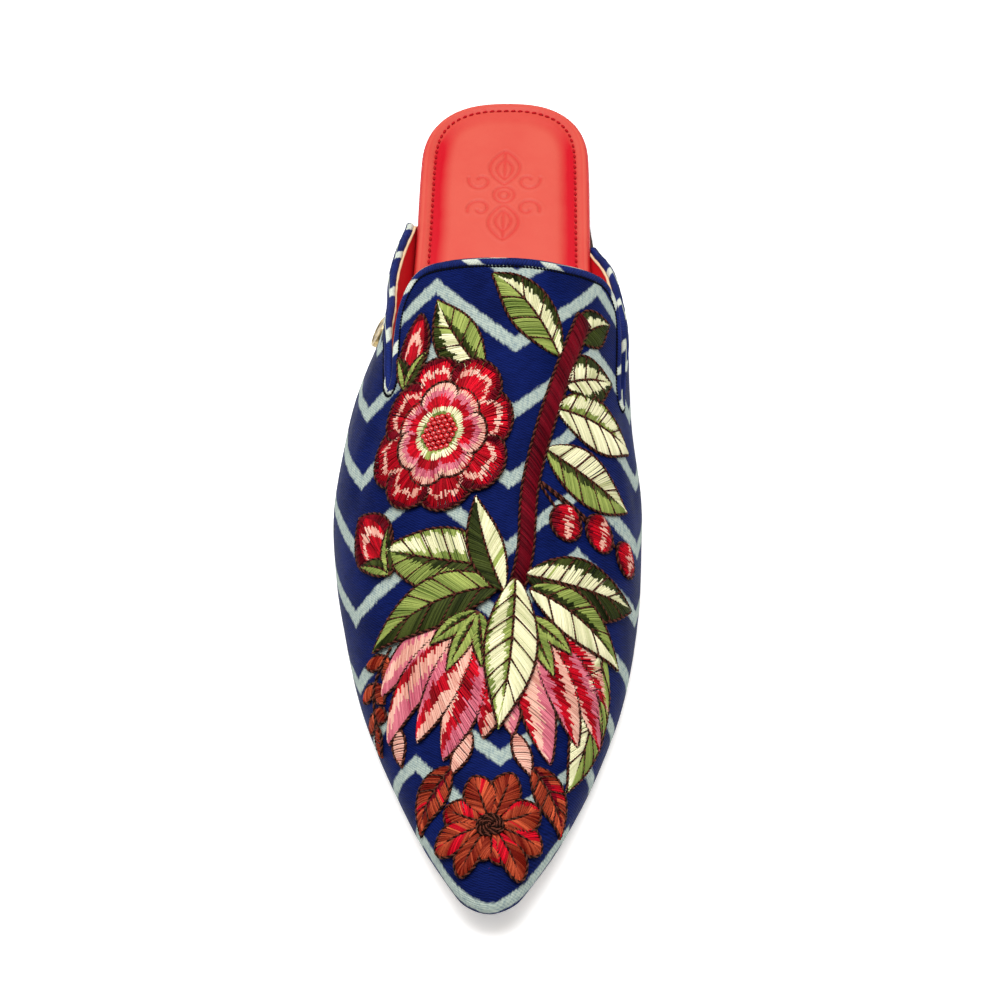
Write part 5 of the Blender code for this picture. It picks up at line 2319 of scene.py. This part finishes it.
    def daisy(self, centre: Spot, radius: float, petals: int) -> None:
        """A rust flower of narrow petals round a knotted heart.

        Args:
            centre: Its middle.
            radius: Length of its petals.
            petals: Their number.
        """
        for k in alternate(petals):
            reach = radius * (1.0 + 0.07 * math.sin(1.9 * k))
            blade = Blade.ray(centre, 360.0 * k / petals, 0.16 * radius, reach, 0.27 * radius,
                              bow=0.05 * (-1) ** k, belly=0.6, base_round=0.9, tip_round=0.62)
            inner = RUST if k % 3 else ((Dye.RUST, 0.7), (Dye.RED, 1.0))
            self.leaf(blade, inner, RUST, lift=0.75 if k % 2 else 0.5, slant=0.24)
        turns = np.linspace(0.0, 5.0 * 2.0 * math.pi, 90)
        spiral = np.stack([np.cos(turns), np.sin(turns)], 1) * (turns / turns[-1])[:, None]
        self.cord(centre + spiral * 0.25 * radius, 1.25)

    def berry(self, centre: Spot, radius: float) -> None:
        """A plump round berry.

        Args:
            centre: Its middle.
            radius: Its radius.
        """
        turn = np.linspace(0.12, math.pi - 0.12, 24)
        half = np.stack([-np.cos(turn), np.sin(turn)], 1) * radius
        zones = ((Dye.MAROON, 0.17), (Dye.RED, 0.50), (Dye.SALMON, 0.66), (Dye.RED, 0.88),
                 (Dye.MAROON, 1.0))
        self.fill(Line(centre + half * (1.0, -1.0)), Line(centre + half), zones, slant=0.04, pad=1.1,
                  lift=0.1)
        self.cord(centre + circle(40) * (radius + 0.1), 0.1)

    def sprig(self, spots: Sequence[Spot], pairs: int, size: float, zones: Zones) -> None:
        """A small fern: paired leaflets along a fine stalk, and one at its end.

        Args:
            spots: Spots that the stalk passes through.
            pairs: Pairs of leaflets.
            size: Length of the longest.
            zones: Their colours.
        """
        path = Line(smooth_path(spots, 1.0))
        for k in range(pairs):
            t = (k + 0.4) / pairs
            ahead = path.at(min(1.0, t + 0.05)) - path.at(t - 0.05)
            for sign in (-1, 1):
                blade = Blade.ray(path.at(t), angle_of(ahead) + sign * 52.0, 0.0,
                                  size * (1.0 - 0.35 * t), 0.23 * size, bow=-0.08 * sign, belly=0.5)
                self.strap(blade, zones, 0.05 * k, slant=0.3)
        last = path.at(1.0) - path.at(0.9)
        self.strap(Blade.ray(path.at(1.0), angle_of(last), 0.0, 0.8 * size, 0.2 * size), zones, 0.2,
                   slant=0.3)
        self.cord(path.points, 0.35)

    # the design
    def draw(self) -> None:
        """Set out every motif, the lowest first."""
        self.draw_leaves()
        self.draw_toe()
        self.stem([(115.5, 23.5), (131.0, 17.0), (148.0, 11.5), (165.0, 8.0), (182.0, 7.5),
                   (194.0, 5.0)], 4.9, 4.0, 0.25)
        self.rosette((150.5, -17.0), 20.5, 0.45)
        self.leaves(
            ((187.0, 3.0), (176.0, -33.5), 8.0, 8.2, 0.10, SHADED, LIT, 5, 0.45),
            ((188.5, 8.0), (186.0, 43.0), 7.6, 7.8, -0.06, RIMMED, DARK, 5, 0.45),
            ((192.0, 1.0), (202.5, -35.0), 6.6, 6.8, -0.12, DARK, GREEN, 4, 0.85),
            ((192.0, 9.0), (205.0, 36.5), 6.2, 6.4, 0.10, SHADED, CREAM, 3, 0.85),
            ((193.0, 2.0), (168.5, -6.0), 4.6, 4.4, 0.08, DARK, CREAM, 0, 1.25),
            ((190.0, 5.0), (229.0, 1.5), 6.6, 6.8, 0.05, CREAM, LIT, 5, 1.45))

    def draw_leaves(self) -> None:
        """Leaves, buds and berries down both sides of the stem."""
        self.leaves(
            ((129.0, 15.0), (109.5, -4.0), 7.0, 6.4, -0.12, GREEN, RIMMED, 3, 0.0),
            ((136.0, -6.0), (113.0, -20.0), 6.4, 5.8, 0.08, RIMMED, SHADED, 3, 0.0),
            ((122.0, 22.0), (111.5, 34.5), 4.6, 4.6, 0.12, RIMMED, DARK, 0, 0.0),
            ((136.0, 17.0), (127.5, 35.6), 6.0, 6.4, 0.08, RIMMED, RIMMED, 3, 0.0),
            ((143.5, 14.5), (142.5, 44.0), 7.2, 7.6, 0.05, LIT, CREAM, 4, 0.0),
            ((155.0, 12.0), (160.0, 41.5), 7.0, 7.4, -0.08, CREAM, SHADED, 4, 0.0))
        self.bud((134.0, -28.4), (115.0, -25.2), 4.8)
        self.bud((182.0, -31.0), (164.0, -43.5), 6.6)
        stalks = ((172.5, 18.5, 4.5), (171.5, 29.5, 4.7), (173.5, 40.5, 4.3))
        for column, girth, _ in stalks:
            self.cord(smooth_path([(163.0, 9.5), (0.5 * column + 83.0, 0.5 * girth + 6.0),
                                   (column, girth)], 1.0))
        for column, girth, radius in stalks:
            self.berry((column, girth), radius)

    def draw_toe(self) -> None:
        """Two flared flowers, pale leaves beside them, and the rust flower at the toe."""
        dab = plain(Dye.SALMON)
        brown = ((Dye.MAROON, 0.35), (Dye.RUST, 1.0))
        self.leaves(((203.0, 31.0), (240.5, 21.0), 5.6, 6.6, 0.10, GREEN, CREAM, 5, 0.0))
        self.sprig([(203.0, -29.0), (211.0, -35.0), (221.0, -35.5)], 3, 8.4, RUST)
        self.leaves(((237.5, -10.5), (251.0, -21.0), 4.8, 4.6, -0.1, brown, RUST, 3, 0.0))
        self.strap(Blade((224.0, -27.5), (233.5, -26.0), 2.3, 2.3), dab)
        self.strap(Blade((229.5, -5.5), (239.5, -10.5), 2.3, 2.3), dab, 0.1)
        self.leaves(((237.5, 10.5), (251.0, 21.0), 4.8, 4.6, 0.1, brown, RUST, 3, 0.0))
        self.strap(Blade((229.5, 5.5), (239.5, 10.5), 2.3, 2.3), dab, 0.1)
        self.lily((200.0, -5.0), -28.0, 37.0, 0.1)
        self.lily((201.0, 9.5), 25.0, 35.0, 0.1)
        self.daisy((254.5, 0.3), 14.8, 9)

    # meshes
    def on_skin(self, flat: Array, height: Value) -> Array:
        """Points over the upper's outer face.

        Args:
            flat: (column, girth) points.
            height: Their height above the face.

        Returns:
            Last points.
        """
        rise = height + UPPER.swell(flat)
        return SKIN.at(*flat.T) + SKIN.normal(*flat.T) * rise[:, None]

    def build_floss(self, dye: Dye) -> None:
        """All strands of one colour as one piece.

        Args:
            dye: The colour.
        """
        strands = self.strands[dye]
        counts = [len(s.flat) for s in strands]
        points = self.on_skin(np.vstack([s.flat for s in strands]),
                              np.concatenate([s.height for s in strands]))
        mesh = path_mesh("floss_" + dye.value, np.split(points, np.cumsum(counts)[:-1]))
        write_value(mesh, "shade", np.repeat([s.shade for s in strands], counts))
        write_value(mesh, "girth", np.repeat([s.girth * MM for s in strands], counts))
        light, dark, depth = FLOSS[dye]
        grow(mesh, floss_tree(), Floss(mesh.name, roughness=0.42, specular=0.04, light=light,
                                       dark=dark, depth=depth), Sides=5)

    def build_cords(self, name: str, runs: Sequence[Run], **sizes: float) -> None:
        """Twisted dark cords along flat paths.

        Args:
            name: Name of the piece.
            runs: The paths and their heights.
            **sizes: Inputs of the cord's tree, in mm.
        """
        paths = []
        for flat, height in runs:
            line = Line(flat)
            even = line.at(np.linspace(0.0, 1.0, max(3, round(line.length / 0.7))))
            paths.append(self.on_skin(even, height))
        brown = Floss(name, roughness=0.5, specular=0.04, light=(0.095, 0.027, 0.017),
                      dark=(0.011, 0.003, 0.002))
        grow(path_mesh(name, paths), cord_tree(), brown, Step=0.37 * MM, Sides=4,
             **{key: size * MM for key, size in sizes.items()})

    def build_beads(self) -> None:
        """Scarlet glass beads sewn into the heart of the large flower."""
        spots, heights = zip(*self.beads)
        points = self.on_skin(np.array(spots), np.array(heights))
        glass = BlownGlass("scarlet_glass", roughness=0.12, specular=0.6, coat=0.6)
        grow(path_mesh("glass_beads", points[:, None]), bead_tree(), glass, Radius=0.80 * MM,
             Uneven=0.06, Seed=3)

    def build(self) -> None:
        """Draw the design and build it, one piece for each colour of floss."""
        self.draw()
        for dye in Dye:
            self.build_floss(dye)
        self.build_cords("outline_cord", self.cords, Spread=0.22, Thread=0.27, Lay=2.0)
        self.build_cords("vein_cord", self.veins, Spread=0.13, Thread=0.19, Lay=1.6)
        self.build_beads()


UPPER = UpperWork()


# ---- studio -----------------------------------------------------------------
@dataclass(frozen=True)
class Lamp:
    """One soft rectangular light."""

    name: str
    place: Colour
    aim: Colour
    size: float
    power: float
    tone: Colour = (1.0, 1.0, 1.0)

    def build(self) -> None:
        """Hang the light and point it."""
        data = bpy.data.lights.new(self.name, "AREA")
        data.shape = "SQUARE"
        data.size = self.size
        data.energy = self.power
        data.color = self.tone
        obj = bpy.data.objects.new(self.name, data)
        obj.location = self.place
        way = Vector(self.aim) - Vector(self.place)
        obj.rotation_euler = way.to_track_quat("-Z", "Y").to_euler()
        bpy.context.scene.collection.objects.link(obj)


@dataclass
class Studio:
    """Pale floor, soft lights and the camera looking down at the shoe from the toe."""

    lens: float = 131.2
    camera_place: Colour = (0.04837, -0.61451, 0.81801)
    pitch_deg: float = 52.0
    aside: float = -0.04473
    below: float = -0.01694
    sky: float = 0.20
    lamps: tuple[Lamp, ...] = (
        Lamp("key_light", (-0.70, 0.25, 1.15), (0.0, 0.0, 0.02), 1.2, 8.0),
        Lamp("fill_light", (0.85, -0.15, 1.10), (0.0, 0.0, 0.02), 1.1, 4.0),
        Lamp("top_light", (0.0, 0.10, 1.35), (0.0, 0.0, 0.0), 0.9, 21.0))

    def build_floor(self) -> None:
        """Wide floor on the ground plane."""
        bm = bmesh.new()
        bmesh.ops.create_grid(bm, x_segments=4, y_segments=4, size=3.0)
        finish_mesh("floor", bm, SoftPlain("floor_paint", roughness=0.9, specular=0.1,
                                                    tone=(0.93, 0.93, 0.93), glow=0.36))

    def build_camera(self) -> None:
        """Camera at the viewing angle, with its slight roll."""
        pitch = math.radians(self.pitch_deg)
        ahead = Vector((0.0, math.cos(pitch), -math.sin(pitch)))
        right = Vector((1.0, 0.0, 0.0))
        up = Vector((0.0, math.sin(pitch), math.cos(pitch)))
        aim = (ahead + right * self.aside + up * self.below).normalized()
        up = (up - aim * up.dot(aim)).normalized()
        right = aim.cross(up)
        data = bpy.data.cameras.new("camera")
        data.lens = self.lens
        data.sensor_width = 36.0
        camera = bpy.data.objects.new("camera", data)
        turn = Matrix((right, up, -aim)).transposed().to_4x4()
        camera.matrix_world = Matrix.Translation(self.camera_place) @ turn
        bpy.context.scene.collection.objects.link(camera)
        bpy.context.scene.camera = camera

    def build(self) -> None:
        """Build floor, lights, sky and camera."""
        self.build_floor()
        for lamp in self.lamps:
            lamp.build()
        world = bpy.data.worlds.new("soft_sky")
        world.use_nodes = True
        sky = world.node_tree.nodes["Background"]
        sky.inputs["Color"].default_value = (1.0, 1.0, 1.0, 1.0)
        sky.inputs["Strength"].default_value = self.sky
        scene = bpy.context.scene
        scene.world = world
        scene.view_settings.view_transform = "Standard"
        self.build_camera()


def main() -> None:
    """Build the shoe piece by piece, then the studio round it."""
    logging.basicConfig(level=logging.INFO, format="%(message)s")
    Studio().build()
    SoleWork().build()
    InsoleWork().build()
    UPPER.build()
    EdgeWork().build()
    StudWork().build()
    Embroidery().build()


if __name__ == "__main__":
    main()
